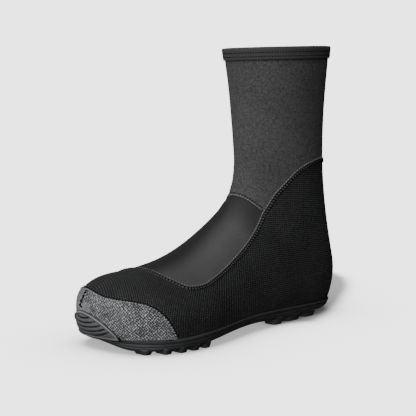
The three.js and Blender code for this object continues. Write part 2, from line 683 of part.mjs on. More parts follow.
function makeSideSeam() {
  const back = sideSeam.slice(0, -1).reverse().map((p) => ({ along: p.along, around: 360 - p.around }));
  return seamStrip([...sideSeam, ...back], true);
}

function makeAnkleSeam() {
  const back = ankleSeam.slice(0, -1).reverse().map((p) => ({ along: p.along, around: -p.around }));
  return seamStrip([...ankleSeam, ...back], false);
}

const finishes = {
  upper: { color: 0x26272a, roughness: 0.92, metalness: 0 },
  sole: { color: 0x2c2d2f, roughness: 0.75, metalness: 0 },
  toe_cap: { color: 0x6c6e72, roughness: 0.9, metalness: 0 },
  toe_guard: { color: 0x3a3c3f, roughness: 0.6, metalness: 0 },
  collar_binding: { color: 0x34363a, roughness: 0.85, metalness: 0 },
  seam_side: { color: 0x3d3f43, roughness: 0.85, metalness: 0 },
  seam_ankle: { color: 0x3d3f43, roughness: 0.85, metalness: 0 },
};

// A named mesh of a solid.
function meshOf(name, solid) {
  const { vertProperties, triVerts } = solid.getMesh();
  const geometry = new THREE.BufferGeometry();
  geometry.setAttribute('position', new THREE.BufferAttribute(new Float32Array(vertProperties), 3));
  geometry.setIndex(new THREE.BufferAttribute(new Uint32Array(triVerts), 1));
  geometry.computeVertexNormals();
  const mesh = new THREE.Mesh(geometry, new THREE.MeshStandardMaterial(finishes[name]));
  mesh.name = name;
  return mesh;
}

const shoe = new THREE.Group();
shoe.add(
  meshOf('upper', makeUpper()),
  meshOf('sole', makeSole()),
  meshOf('toe_cap', makeToeCap()),
  meshOf('toe_guard', makeToeGuard()),
  meshOf('collar_binding', makeBinding()),
  meshOf('seam_side', makeSideSeam()),
  meshOf('seam_ankle', makeAnkleSeam()),
);

// The origin is on the floor under the middle of the shoe.
const bounds = new THREE.Box3().setFromObject(shoe);
const middle = bounds.getCenter(new THREE.Vector3());
shoe.position.set(-middle.x, -middle.y, -bounds.min.z);

const group = new THREE.Group();
group.add(shoe);

export default group;
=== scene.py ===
import math
import bmesh
import bpy
import numpy as np
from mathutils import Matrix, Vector
from mathutils.bvhtree import BVHTree


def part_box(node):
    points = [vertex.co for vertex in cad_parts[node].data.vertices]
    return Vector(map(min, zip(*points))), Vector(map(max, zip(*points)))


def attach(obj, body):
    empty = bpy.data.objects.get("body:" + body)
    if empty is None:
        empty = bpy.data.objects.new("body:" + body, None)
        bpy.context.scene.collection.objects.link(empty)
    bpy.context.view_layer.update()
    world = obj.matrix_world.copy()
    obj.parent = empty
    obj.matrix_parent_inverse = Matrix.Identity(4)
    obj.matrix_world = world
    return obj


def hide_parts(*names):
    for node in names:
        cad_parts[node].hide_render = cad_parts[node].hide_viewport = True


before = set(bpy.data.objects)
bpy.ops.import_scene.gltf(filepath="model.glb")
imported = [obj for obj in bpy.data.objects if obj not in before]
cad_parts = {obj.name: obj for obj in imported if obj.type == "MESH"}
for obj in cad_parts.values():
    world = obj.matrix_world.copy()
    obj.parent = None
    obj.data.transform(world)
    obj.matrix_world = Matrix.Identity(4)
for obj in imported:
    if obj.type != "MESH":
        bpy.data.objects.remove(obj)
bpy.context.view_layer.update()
print("frame loaded")

mm = 0.001


# The last. All lengths below are metres, the tables are shares of these sizes.

last = {
    "length": 302 * mm,
    "ball": 109 * mm,
    "instep": 120 * mm,
    "collar": 263 * mm,
    "collarWidth": 98 * mm,
    "toeDepth": 50 * mm,
    "feather": 12 * mm,
    "wall": 2.5 * mm,
    "toeCentreZ": 0.25,
    "toeCentreY": -0.110,
    "toePower": 2.5,
    "toeLean": 0.06,
    "toeLeanFade": 60 * mm,
    "springSlant": 0.22,
}

# topX topZ topY keelX keelZ lateral medial belly topPower keelPower
footSections = [
    (1.000, 0.508, -0.110, 1.000, 0.050, 0.385, 0.422, 0.48, 2.60, 3.2),
    (0.911, 0.528, -0.101, 0.911, -0.033, 0.459, 0.440, 0.45, 2.40, 3.4),
    (0.828, 0.537, -0.092, 0.828, -0.067, 0.509, 0.468, 0.42, 2.20, 3.6),
    (0.745, 0.560, -0.083, 0.745, -0.083, 0.514, 0.486, 0.40, 2.10, 3.6),
    (0.662, 0.615, -0.073, 0.662, -0.083, 0.486, 0.472, 0.38, 2.00, 3.4),
    (0.589, 0.702, -0.064, 0.570, -0.067, 0.436, 0.422, 0.34, 1.95, 3.2),
    (0.529, 0.804, -0.050, 0.470, -0.050, 0.394, 0.376, 0.33, 1.90, 3.0),
    (0.480, 0.895, -0.037, 0.364, -0.042, 0.376, 0.358, 0.32, 1.90, 3.0),
    (0.438, 0.988, -0.028, 0.252, -0.033, 0.376, 0.358, 0.32, 1.90, 2.8),
]
# frontX frontZ frontY backX backZ lateral medial belly frontPower backPower
shaftSections = [
    (0.408, 0.077, -0.020, 0.142, -0.011, 0.423, 0.398, 0.33, 1.95, 2.7),
    (0.393, 0.192, -0.010, 0.040, 0.015, 0.423, 0.398, 0.36, 2.00, 2.5),
    (0.388, 0.322, 0, 0.000, 0.118, 0.418, 0.393, 0.40, 2.05, 2.3),
    (0.387, 0.441, 0, 0.017, 0.236, 0.418, 0.393, 0.45, 2.05, 2.2),
    (0.387, 0.545, 0, 0.035, 0.357, 0.418, 0.393, 0.48, 2.10, 2.1),
    (0.387, 0.636, 0, 0.052, 0.506, 0.423, 0.408, 0.50, 2.10, 2.1),
    (0.390, 0.748, 0, 0.058, 0.654, 0.439, 0.429, 0.50, 2.10, 2.1),
    (0.395, 0.867, 0, 0.057, 0.825, 0.469, 0.459, 0.50, 2.10, 2.1),
    (0.405, 1.000, 0, 0.047, 1.015, 0.505, 0.495, 0.50, 2.10, 2.1),
]
# Heights as shares of the feather height, heel to toe
featherLine = [(-0.20, 0.82), (0.00, 0.85), (0.12, 0.90), (0.26, 1.02), (0.40, 1.12), (0.54, 1.15),
               (0.66, 1.08), (0.78, 0.98), (0.88, 0.90), (0.94, 0.92), (0.98, 0.86), (1.05, 0.70)]
undersideLine = [(-0.20, 0.66), (0.00, 0.62), (0.06, 0.48), (0.14, 0.42), (0.30, 0.44), (0.42, 0.60),
                 (0.54, 0.64), (0.66, 0.48), (0.73, 0.33), (0.86, 0.27), (0.92, 0.24), (0.945, 0.36),
                 (0.967, 0.64), (0.985, 0.76), (1.05, 0.85)]


def naturalCurve(values, places=None):
    values = np.array(values, float)
    places = np.arange(len(values), dtype=float) if places is None else np.array(places, float)
    n = len(values)
    step = np.diff(places)
    system = np.eye(n)
    bends = np.zeros(n)
    for i in range(1, n - 1):
        system[i, i - 1:i + 2] = step[i - 1], 2 * (step[i - 1] + step[i]), step[i]
        bends[i] = 6 * ((values[i + 1] - values[i]) / step[i] - (values[i] - values[i - 1]) / step[i - 1])
    bends = np.linalg.solve(system, bends)

    def at(place):
        place = np.asarray(place, float)
        i = np.clip(np.searchsorted(places, place) - 1, 0, n - 2)
        a = (places[i + 1] - place) / step[i]
        b = (place - places[i]) / step[i]
        sag = ((a ** 3 - a) * bends[i] + (b ** 3 - b) * bends[i + 1]) * step[i] ** 2 / 6
        return a * values[i] + b * values[i + 1] + sag
    return at


def sectionCurves():
    size = last
    rise = size["collar"] - size["instep"]
    foot = [(s[0] * size["length"], s[1] * size["instep"], s[2] * size["ball"], s[3] * size["length"],
             s[4] * size["instep"], s[5] * size["ball"], s[6] * size["ball"], *s[7:]) for s in footSections]
    shaft = [(s[0] * size["length"], size["instep"] + s[1] * rise, s[2] * size["collarWidth"],
              s[3] * size["length"], s[4] * size["collar"], s[5] * size["collarWidth"],
              s[6] * size["collarWidth"], *s[7:]) for s in shaftSections]
    return [naturalCurve(column) for column in zip(*(foot + shaft))], len(foot) + len(shaft) - 1


curves, lastRow = sectionCurves()
frontRows = np.linspace(0, 4, 4001)
frontX = curves[0](frontRows)
featherShare = naturalCurve([p[1] for p in featherLine], [p[0] for p in featherLine])
undersideShare = naturalCurve([p[1] for p in undersideLine], [p[0] for p in undersideLine])


def rowAtX(x):
    return np.interp(-x, -frontX, frontRows)


toeJointX = last["length"] - last["toeDepth"]
toeJointRow = float(rowAtX(toeJointX))


def featherAt(x):
    return featherShare(x / last["length"]) * last["feather"]


def undersideAt(x, y=0.0):
    # The toe spring starts sooner on the inner side.
    low = undersideShare((x - last["springSlant"] * y) / last["length"]) * last["feather"]
    return np.minimum(low, featherAt(x) - 2 * mm)


def sectionPoint(row, around):
    topX, topZ, topY, keelX, keelZ, lateral, medial, belly, topPower, keelPower = [c(row) for c in curves]
    upward, outward = np.cos(around), np.sin(around)
    power = np.where(upward >= 0, topPower, keelPower)
    reach = np.abs(upward) ** (2 / power)
    level = np.where(upward >= 0, belly + (1 - belly) * reach, belly - belly * reach)
    middleY = (lateral - medial) / 2
    ridgeY = np.where(upward >= 0, topY, middleY)
    y = middleY + (ridgeY - middleY) * reach ** 2
    y = y + np.sign(outward) * (lateral + medial) / 2 * np.abs(outward) ** (2 / power)
    return np.stack([keelX + level * (topX - keelX), y, keelZ + level * (topZ - keelZ)], -1)


def surfacePoint(along, around):
    # along: -1 toe tip, 0 toe joint, 1 collar. around: 0 front, pi keel or back, radians.
    along, around = np.broadcast_arrays(np.asarray(along, float), np.asarray(around, float))
    centreY = last["toeCentreY"] * last["ball"]
    centreZ = last["toeCentreZ"] * last["instep"]
    body = sectionPoint(toeJointRow + np.maximum(along, 0) * (lastRow - toeJointRow), around)
    fade = np.clip((body[..., 0] - toeJointX + last["toeLeanFade"]) / last["toeLeanFade"], 0, 1)
    body[..., 0] -= last["toeLean"] * fade * (body[..., 1] - centreY)
    turn = (1 + np.clip(along, -1, 0)) * math.pi / 2
    x = last["length"] - last["toeDepth"] * (1 - np.cos(turn))
    spread = (1 - np.cos(turn) ** last["toePower"]) ** (1 / last["toePower"])
    toe = sectionPoint(rowAtX(x), around)
    toe[..., 1] = centreY + (toe[..., 1] - centreY) * spread
    toe[..., 2] = centreZ + (toe[..., 2] - centreZ) * spread
    toe[..., 0] = x - last["toeLean"] * (toe[..., 1] - centreY)
    return np.where((along < 0)[..., None], toe, body)


def unit(v):
    return v / np.maximum(np.linalg.norm(v, axis=-1, keepdims=True), 1e-12)


def runOf(line):
    # Distance along a line of points, from its first.
    return np.concatenate([[0], np.cumsum(np.linalg.norm(np.diff(line, axis=0), axis=-1))])


def pointsAt(distance, run, line):
    return np.stack([np.interp(distance, run, line[:, k]) for k in range(3)], -1)


def eased(share):
    return share * share * (3 - 2 * share)


def surfaceNormal(along, around, step=0.004):
    low = np.maximum(along, -1 + 2 * step)
    alongWay = surfacePoint(low + step, around) - surfacePoint(low - step, around)
    aroundWay = surfacePoint(low, around + step) - surfacePoint(low, around - step)
    return unit(np.cross(aroundWay, alongWay))


def bodyPoint(along, around, off=0.0):
    return surfacePoint(along, around) + surfaceNormal(along, around) * np.asarray(off)[..., None]


# The frame's own place for the upper says where the last's heel and middle are.
_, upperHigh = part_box("upper")
coarse = surfacePoint(np.linspace(-1, 1, 160)[:, None], np.linspace(0, 2 * math.pi, 160)[None, :])
heelAt = np.array([upperHigh.x - coarse[..., 0].max(), upperHigh.y - coarse[..., 1].max(), 0.0])
print("last placed", heelAt.round(5))


# Camera, at the photo's angle, aimed past the ankle

camera = {
    "azimuth": 130, "distance": 1.100, "height": 0.225, "axisX": 0.064,
    "yaw": -136.353, "pitch": -6.148, "focalPixels": 1100, "imagePixels": 416, "sensor": 36,
}


def makeCamera():
    c = camera
    data = bpy.data.cameras.new("camera")
    data.sensor_width = c["sensor"]
    data.lens = c["sensor"] * c["focalPixels"] / c["imagePixels"]
    data.clip_start = 0.05
    data.clip_end = 200
    obj = bpy.data.objects.new("camera", data)
    bpy.context.scene.collection.objects.link(obj)
    a = math.radians(c["azimuth"])
    place = Vector((c["axisX"] + c["distance"] * math.sin(a), -c["distance"] * math.cos(a), c["height"]))
    obj.location = place + Vector(heelAt)
    yaw, pitch = math.radians(c["yaw"]), math.radians(c["pitch"])
    way = Vector((math.cos(yaw) * math.cos(pitch), math.sin(yaw) * math.cos(pitch), math.sin(pitch)))
    obj.rotation_euler = way.to_track_quat("-Z", "Y").to_euler()
    bpy.context.scene.camera = obj
    return obj


makeCamera()
print("camera set")


# Materials. Wire wraps a socket so that shader maths reads as an expression.

class Wire:
    def __init__(self, finish, socket):
        self.finish, self.socket = finish, socket

    def math(self, operation, a, b=None, clamp=False):
        values = [a] if b is None else [a, b]
        return self.finish.add("ShaderNodeMath", {"operation": operation, "use_clamp": clamp}, *values)

    def __add__(self, other): return self.math("ADD", self, other)
    def __radd__(self, other): return self.math("ADD", other, self)
    def __sub__(self, other): return self.math("SUBTRACT", self, other)
    def __rsub__(self, other): return self.math("SUBTRACT", other, self)
    def __mul__(self, other): return self.math("MULTIPLY", self, other)
    def __rmul__(self, other): return self.math("MULTIPLY", other, self)
    def __truediv__(self, other): return self.math("DIVIDE", self, other)
    def __pow__(self, other): return self.math("POWER", self, other)
    def sine(self): return self.math("SINE", self)
    def clamped(self): return self.math("ADD", self, 0.0, clamp=True)


class Finish:
    def __init__(self, name, owner=None):
        self.material = owner or bpy.data.materials.new(name)
        self.material.use_nodes = True
        self.tree = self.material.node_tree
        self.shader = self.tree.nodes.get("Principled BSDF")

    def add(self, kind, settings=None, *values, out=0, **named):
        node = self.tree.nodes.new(kind)
        for key, value in (settings or {}).items():
            if key == "stops":
                ramp = node.color_ramp.elements
                ramp[0].position, ramp[1].position = value[0][0], value[-1][0]
                for place, level in value[1:-1]:
                    ramp.new(place)
                for place, level in value:
                    nearest = min(ramp, key=lambda spot: abs(spot.position - place))
                    nearest.color = (level, level, level, 1)
            else:
                setattr(node, key, value)
        pairs = list(zip(node.inputs, values))
        pairs += [(node.inputs[key.replace("_", " ")], value) for key, value in named.items()]
        for socket, value in pairs:
            self.feed(socket, value)
        return Wire(self, node.outputs[out])

    def feed(self, socket, value):
        if isinstance(value, Wire):
            self.tree.links.new(value.socket, socket)
        elif value is not None:
            socket.default_value = value

    def set(self, **named):
        for key, value in named.items():
            self.feed(self.shader.inputs[key.replace("_", " ")], value)
        return self

    def attribute(self, name, part=None):
        wire = self.add("ShaderNodeAttribute", {"attribute_name": name}, out=1)
        if part is None:
            return wire
        return self.add("ShaderNodeSeparateXYZ", None, wire, out=part)

    def place(self):
        return self.add("ShaderNodeTexCoord", None, out=3)

    def noise(self, scale, detail=3.0, rough=0.55):
        return self.add("ShaderNodeTexNoise", {"noise_dimensions": "3D"}, Vector=self.place(),
                        Scale=scale, Detail=detail, Roughness=rough)

    def blend(self, factor, a, b):
        node = self.tree.nodes.new("ShaderNodeMix")
        node.data_type = "RGBA"
        self.feed(node.inputs[0], factor)
        self.feed(node.inputs[6], a)
        self.feed(node.inputs[7], b)
        return Wire(self, node.outputs[2])

    def bump(self, height, distance):
        normal = self.add("ShaderNodeBump", None, Strength=1.0, Distance=distance, Height=height)
        self.set(Normal=normal)
        return self


def shade(value, tint=(1, 1, 1)):
    return (value * tint[0], value * tint[1], value * tint[2], 1)


cool = (0.97, 0.99, 1.03)

ribKnit = {"ribPitch": 2.1, "rowPitch": 1.9, "dark": 0.0030, "light": 0.048, "rough": 0.8, "bump": 0.0004}


def ribKnitFinish():
    # The black panel round vamp, sides and heel: a fine square rib, upright on the vamp, level at the heel.
    f = Finish("ribKnit")
    ribs = (f.attribute("weave", 0) * (2 * math.pi / ribKnit["ribPitch"])).sine() * 0.5 + 0.5
    rows = (f.attribute("weave", 1) * (2 * math.pi / ribKnit["rowPitch"])).sine() * 0.5 + 0.5
    vamp = f.attribute("weave", 2)
    weave = ribs * (vamp * 0.5 + 0.25) + rows * (0.75 - vamp * 0.5)
    mottle = f.noise(1100.0, 2.0, 0.6)
    cloud = f.noise(30.0, 3.0)
    depth = vamp * 0.3 + 0.65
    broken = (weave - 0.5) * depth * (mottle * 1.6 + 0.2)
    tone = (broken + 0.32 + (mottle - 0.5) * 1.4 + (cloud - 0.5) * 0.4).clamped()
    f.set(Base_Color=f.blend(tone, shade(ribKnit["dark"], cool), shade(ribKnit["light"], cool)),
          Roughness=ribKnit["rough"], Specular_IOR_Level=0.12, Sheen_Weight=0.02, Sheen_Roughness=0.5)
    return f.bump(weave + mottle * 0.4, ribKnit["bump"]).material


shaftKnit = {"dark": 0.016, "light": 0.078, "rough": 0.9, "bump": 0.0003}


def shaftKnitFinish():
    # The shaft: charcoal jersey with a mottled grain.
    f = Finish("shaftKnit")
    grain = f.noise(1400.0, 2.0, 0.6)
    speck = f.noise(520.0, 3.0, 0.6)
    cloud = f.noise(18.0, 3.0)
    wale = (f.attribute("weave", 0) * (2 * math.pi / 0.9)).sine() * 0.5 + 0.5
    tone = ((grain - 0.5) * 1.6 + (speck - 0.5) * 1.3 + wale * 0.1 + (cloud - 0.5) * 0.35 + 0.45).clamped()
    f.set(Base_Color=f.blend(tone, shade(shaftKnit["dark"]), shade(shaftKnit["light"])),
          Roughness=shaftKnit["rough"], Specular_IOR_Level=0.12, Sheen_Weight=0.03, Sheen_Roughness=0.5)
    return f.bump(grain * 0.6 + speck * 0.5 + wale * 0.2, shaftKnit["bump"]).material


# the instep's painted sheen: the first pair scales its colour into a painted shaded and a painted lit copy;
# the lit copy is painted from litFrom over litRun degrees round the outer side, falling to a quarter of it as
# along nears topAt, toward the ankle
instepKnit = {"paintedDimAndLit": (0.30, 1.35), "dark": 0.022, "light": 0.060, "rough": 0.55, "bump": 0.00018,
              "litFrom": 2, "litRun": 28, "topAt": 0.425, "topRun": 0.10}


def instepKnitFinish():
    # The instep panel: smooth stretch face with a painted sheen, a shaded and a lit copy of its colour
    # blended by a per-point attribute.
    f = Finish("instepKnit")
    grain = f.noise(1500.0, 2.0, 0.6)
    cloud = f.noise(22.0, 3.0)
    tone = ((grain - 0.5) * 1.3 + 0.5 + (cloud - 0.5) * 0.4).clamped()
    # painted shade and painted light: a dimmed and a brightened copy of the same colour
    dim, lit = [f.blend(tone, shade(instepKnit["dark"] * k), shade(instepKnit["light"] * k))
                for k in instepKnit["paintedDimAndLit"]]
    f.set(Base_Color=f.blend(f.attribute("shine"), dim, lit),
          Roughness=instepKnit["rough"], Specular_IOR_Level=0.2, Sheen_Weight=0.02, Sheen_Roughness=0.4)
    return f.bump(grain, instepKnit["bump"]).material


def liningFinish():
    # The brushed inside.
    f = Finish("lining")
    fuzz = f.noise(700.0, 3.0, 0.6)
    f.set(Base_Color=f.blend(fuzz, shade(0.012), shade(0.035)), Roughness=0.95, Specular_IOR_Level=0.1,
          Sheen_Weight=0.1)
    return f.bump(fuzz, 0.0004).material


capFabric = {"pitch": 2.5, "dark": 0.026, "light": 0.52, "rough": 0.75}


def capFabricFinish():
    # Rough coated weave: pale beads over a dark ground.
    f = Finish("capFabric")
    beads = f.attribute("bead", 0)
    speck = f.noise(1300.0, 2.0)
    cloud = f.noise(60.0, 3.0)
    lumps = f.noise(420.0, 2.0)
    tone = (beads * (lumps * 1.3 + 0.15) + (speck - 0.5) * 0.4 + (cloud - 0.5) * 0.4).clamped()
    f.set(Base_Color=f.blend(tone, shade(capFabric["dark"], cool), shade(capFabric["light"], cool)),
          Roughness=capFabric["rough"], Specular_IOR_Level=0.2)
    return f.bump(speck, 0.0002).material


def rubberFinish(name, groove, face, edge, rough, relief=None):
    # Moulded rubber. Where an attribute is given, its first channel blends in a painted shade and its second
    # a painted highlight; without one, the rubber is paler on its convex edges.
    f = Finish(name)
    grain = f.noise(900.0, 2.0, 0.6)
    cloud = f.noise(45.0, 4.0, 0.6)
    body = (0.5 + (cloud - 0.5) * 0.5 + (grain - 0.5) * 0.5).clamped()
    colour = f.blend(body, shade(face * 0.6, cool), shade(face * 1.4, cool))
    if relief:
        # painted shade from the attribute's first channel, painted highlight from its second
        colour = f.blend(f.attribute(relief, 0), colour, shade(groove, cool))
        paleShare = (f.attribute(relief, 1) + (cloud - 0.5) * 0.3).clamped()
    else:
        # paler on its convex edges
        paleShare = ((f.add("ShaderNodeNewGeometry", None, out=7) - 0.5) * 5.0 + (cloud - 0.5) * 0.5).clamped()
    colour = f.blend(paleShare, colour, shade(edge, cool))
    f.set(Base_Color=colour, Roughness=(rough + (cloud - 0.5) * 0.2).clamped(), Specular_IOR_Level=0.25)
    return f.bump(grain + cloud * 0.4, 0.00012).material


def clothFinish(name, dark, light, rough=0.85, scale=1400.0, bump=0.0002):
    f = Finish(name)
    grain = f.noise(scale, 2.0, 0.6)
    f.set(Base_Color=f.blend(grain, shade(dark), shade(light)), Roughness=rough, Specular_IOR_Level=0.12,
          Sheen_Weight=0.03, Sheen_Roughness=0.5)
    return f.bump(grain, bump).material


materials = {
    "rib": ribKnitFinish(),
    "shaft": shaftKnitFinish(),
    "instep": instepKnitFinish(),
    "lining": liningFinish(),
    "cap": capFabricFinish(),
    # the guard's darkest colour is its painted shade and its palest its painted highlight
    "guard": rubberFinish("guardRubber", 0.0012, 0.042, 0.26, 0.5, "relief"),
    "sole": rubberFinish("soleRubber", 0.006, 0.021, 0.085, 0.62),
    "binding": clothFinish("bindingJersey", 0.020, 0.058),
    "seam": clothFinish("seamTape", 0.045, 0.080),
    "seamPale": clothFinish("seamEdge", 0.038, 0.075),
    "thread": clothFinish("threadDark", 0.0012, 0.003, 0.7),
    "threadPale": clothFinish("threadPale", 0.20, 0.34, 0.6),
}
print("materials made")


# Mesh helpers

def meshPiece(name, points, faces, slots, slotOf=None, attributes=None):
    mesh = bpy.data.meshes.new(name)
    points = np.asarray(points, float) + heelAt
    mesh.from_pydata(points.tolist(), [], faces)
    for material in slots:
        mesh.materials.append(materials[material])
    if slotOf is not None:
        mesh.polygons.foreach_set("material_index", np.asarray(slotOf, np.int32))
    mesh.polygons.foreach_set("use_smooth", [True] * len(mesh.polygons))
    for key, values in (attributes or {}).items():
        layer = mesh.attributes.new(key, "FLOAT_VECTOR", "POINT")
        layer.data.foreach_set("vector", np.asarray(values, np.float32).ravel())
    mesh.update()
    obj = bpy.data.objects.new(name, mesh)
    bpy.context.scene.collection.objects.link(obj)
    return obj


def settle(obj, slot, *nodes):
    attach(obj, "root")
    if nodes:
        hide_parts(*nodes)
    return obj


def gridFaces(rows, columns, start=0, closed=False, flip=False):
    r = np.arange(rows - 1)[:, None]
    c = np.arange(columns if closed else columns - 1)[None, :]
    a = start + r * columns + c
    b = start + r * columns + (c + 1) % columns
    quads = np.stack([a, b, b + columns, a + columns], -1).reshape(-1, 4)
    return quads[:, ::-1] if flip else quads


def weldedPiece(obj):
    # Joins points that meet and drops faces without area.
    distance = 1e-6
    made = bmesh.new()
    made.from_mesh(obj.data)
    bmesh.ops.remove_doubles(made, verts=made.verts, dist=distance)
    bmesh.ops.dissolve_degenerate(made, dist=distance, edges=made.edges)
    made.to_mesh(obj.data)
    made.free()
    return obj


# Upper: outside, brushed inside and the panels on it

upperShape = {
    "aroundSteps": 220, "toeRings": 46, "bodyRings": 230, "insideEvery": 3,
    # soft troughs and ridges: along, around in degrees, reach along and around, depth in mm
    "folds": [
        (0.452, 0, 0.020, 50, -0.9), (0.492, 8, 0.018, 44, 0.5), (0.405, -6, 0.020, 40, 0.45),
        (0.560, 150, 0.030, 40, -0.6), (0.640, 165, 0.028, 45, -0.7), (0.600, 158, 0.020, 40, 0.5),
        (0.120, 20, 0.018, 34, -0.18), (0.075, -10, 0.016, 34, 0.14), (0.700, 60, 0.05, 30, -0.4),
        (0.900, 100, 0.06, 50, -0.5), (0.880, 30, 0.05, 40, 0.35), (0.860, 250, 0.06, 50, -0.5),
    ],
}
sideSeam = [
    (0.024, 0), (0.023, 15), (0.025, 30), (0.038, 41), (0.060, 48.5), (0.107, 51.5), (0.158, 50.8),
    (0.227, 50), (0.297, 48.5), (0.360, 45), (0.414, 41.5), (0.460, 39.5), (0.521, 41.5), (0.572, 47.5),
    (0.623, 56.4), (0.689, 70.4), (0.748, 86.7), (0.783, 101), (0.808, 118), (0.824, 138), (0.832, 160),
    (0.835, 180),
]
ankleSeam = [(0.457, 36.9), (0.451, 28.8), (0.445, 19.2), (0.440, 10.2), (0.437, 0)]


def foldDepth(along, around):
    degrees = np.degrees(around)
    total = np.zeros(np.broadcast(along, around).shape)
    for a, r, reachA, reachR, depth in upperShape["folds"]:
        turn = (degrees - r + 180) % 360 - 180
        total = total + depth * mm * np.exp(-((along - a) / reachA) ** 2 - (turn / reachR) ** 2)
    return total


def keelCrossing(clear, sunk, rise):
    # Where the middle of the underside meets the feather line.
    high, low = clear, sunk
    for _ in range(40):
        middle = (high + low) / 2
        p = surfacePoint(middle, math.pi)
        if p[2] > featherAt(p[0]) + rise:
            high = middle
        else:
            low = middle
    return high


def toeAndHeel(rise=0.0):
    return keelCrossing(-1, -0.3, rise), keelCrossing(0.75, 0.4, rise)


def featherReach(along, rise=0.0, side=1):
    # How far round each ring goes before it meets the feather line.
    along = np.asarray(along, float)
    low = np.full(along.shape, 0.42 * math.pi)
    high = np.full(along.shape, math.pi)
    end = surfacePoint(along, side * high)
    open_ = end[..., 2] < featherAt(end[..., 0]) + rise
    for _ in range(40):
        middle = (low + high) / 2
        p = surfacePoint(along, side * middle)
        over = p[..., 2] > featherAt(p[..., 0]) + rise
        low = np.where(over, middle, low)
        high = np.where(over, high, middle)
    return np.where(open_, low, math.pi)


def ringPlaces():
    toe, heel = toeAndHeel()
    steps = upperShape
    tip = -1 + (toe + 1) * (np.arange(1, 15) / 14)
    ease = 0.5 - 0.5 * np.cos(np.linspace(0, math.pi / 2, steps["toeRings"] + 1)[1:])
    front = toe + (0 - toe) * ease * 2
    turn = np.linspace(0, math.pi / 2, int(steps["bodyRings"] * heel) + 1)[1:]
    middle = heel * np.sin(turn)
    count = int(steps["bodyRings"] * (1 - heel))
    rest = heel + (1 - heel) * (np.linspace(0, 1, count + 1)[1:] ** 1.25)
    return np.concatenate([tip, front, middle, rest])


# How the ribs lie, in metres along the foot: level rows from heel to waist, wider slanted ribs on the vamp
weaveShape = {
    "heelFrom": 0.040, "heelRadius": 0.038, "levelFrom": 0.190, "vampFrom": 0.105, "change": 0.080,
    "middle": -21 * mm, "middleRound": 8 * mm, "wider": 0.12,
    "slant": [(-0.02, 0), (0.01, 0.03), (0.05, 0.16), (0.10, 0.36), (0.15, 0.58), (0.20, 0.74),
              (0.235, 0.72), (0.27, 0.62), (0.32, 0.5)],
}


def weaveAt(points, around):
    # Cloth coordinates in millimetres: how far along the foot, and how far up from the feather line.
    x, y, z = points[..., 0], points[..., 1], points[..., 2]
    w = weaveShape
    heelTurn = np.arctan2(w["heelFrom"] - x, np.abs(y) + 1e-6)
    alongFoot = np.where(x < w["heelFrom"], w["heelFrom"] - w["heelRadius"] * heelTurn, x)
    step = np.linalg.norm(np.diff(points, axis=1), axis=-1)
    run = np.concatenate([np.zeros((len(points), 1)), np.cumsum(step, axis=1)], axis=1)
    top = np.argmin(np.abs(around[0]))
    fromTop = np.abs(run - run[:, top:top + 1])
    ends = np.where(around > 0, fromTop[:, -1:], fromTop[:, :1])
    up = ends - fromTop
    blendBack = np.clip((w["levelFrom"] - x) / w["change"], 0, 1)
    height = np.clip(z - featherAt(np.clip(x, 0, last["length"])), 0, None)
    up = up * (1 - blendBack) + height * blendBack
    # on the vamp the ribs are wider and slant back from its middle line
    places = np.linspace(-0.05, 0.35, 1600)
    share = np.clip((places - w["vampFrom"]) / w["change"], 0, 1)
    share = eased(share)
    wider = np.cumsum(1 - w["wider"] * share) * (places[1] - places[0])
    vamp = np.interp(x, places, share)
    fromMiddle = np.sqrt((y - w["middle"]) ** 2 + w["middleRound"] ** 2)
    slant = np.interp(x, *zip(*w["slant"]))
    ribAt = np.interp(alongFoot, places, wider) - slant * fromMiddle
    return np.stack([ribAt, up, vamp * mm], -1) / mm


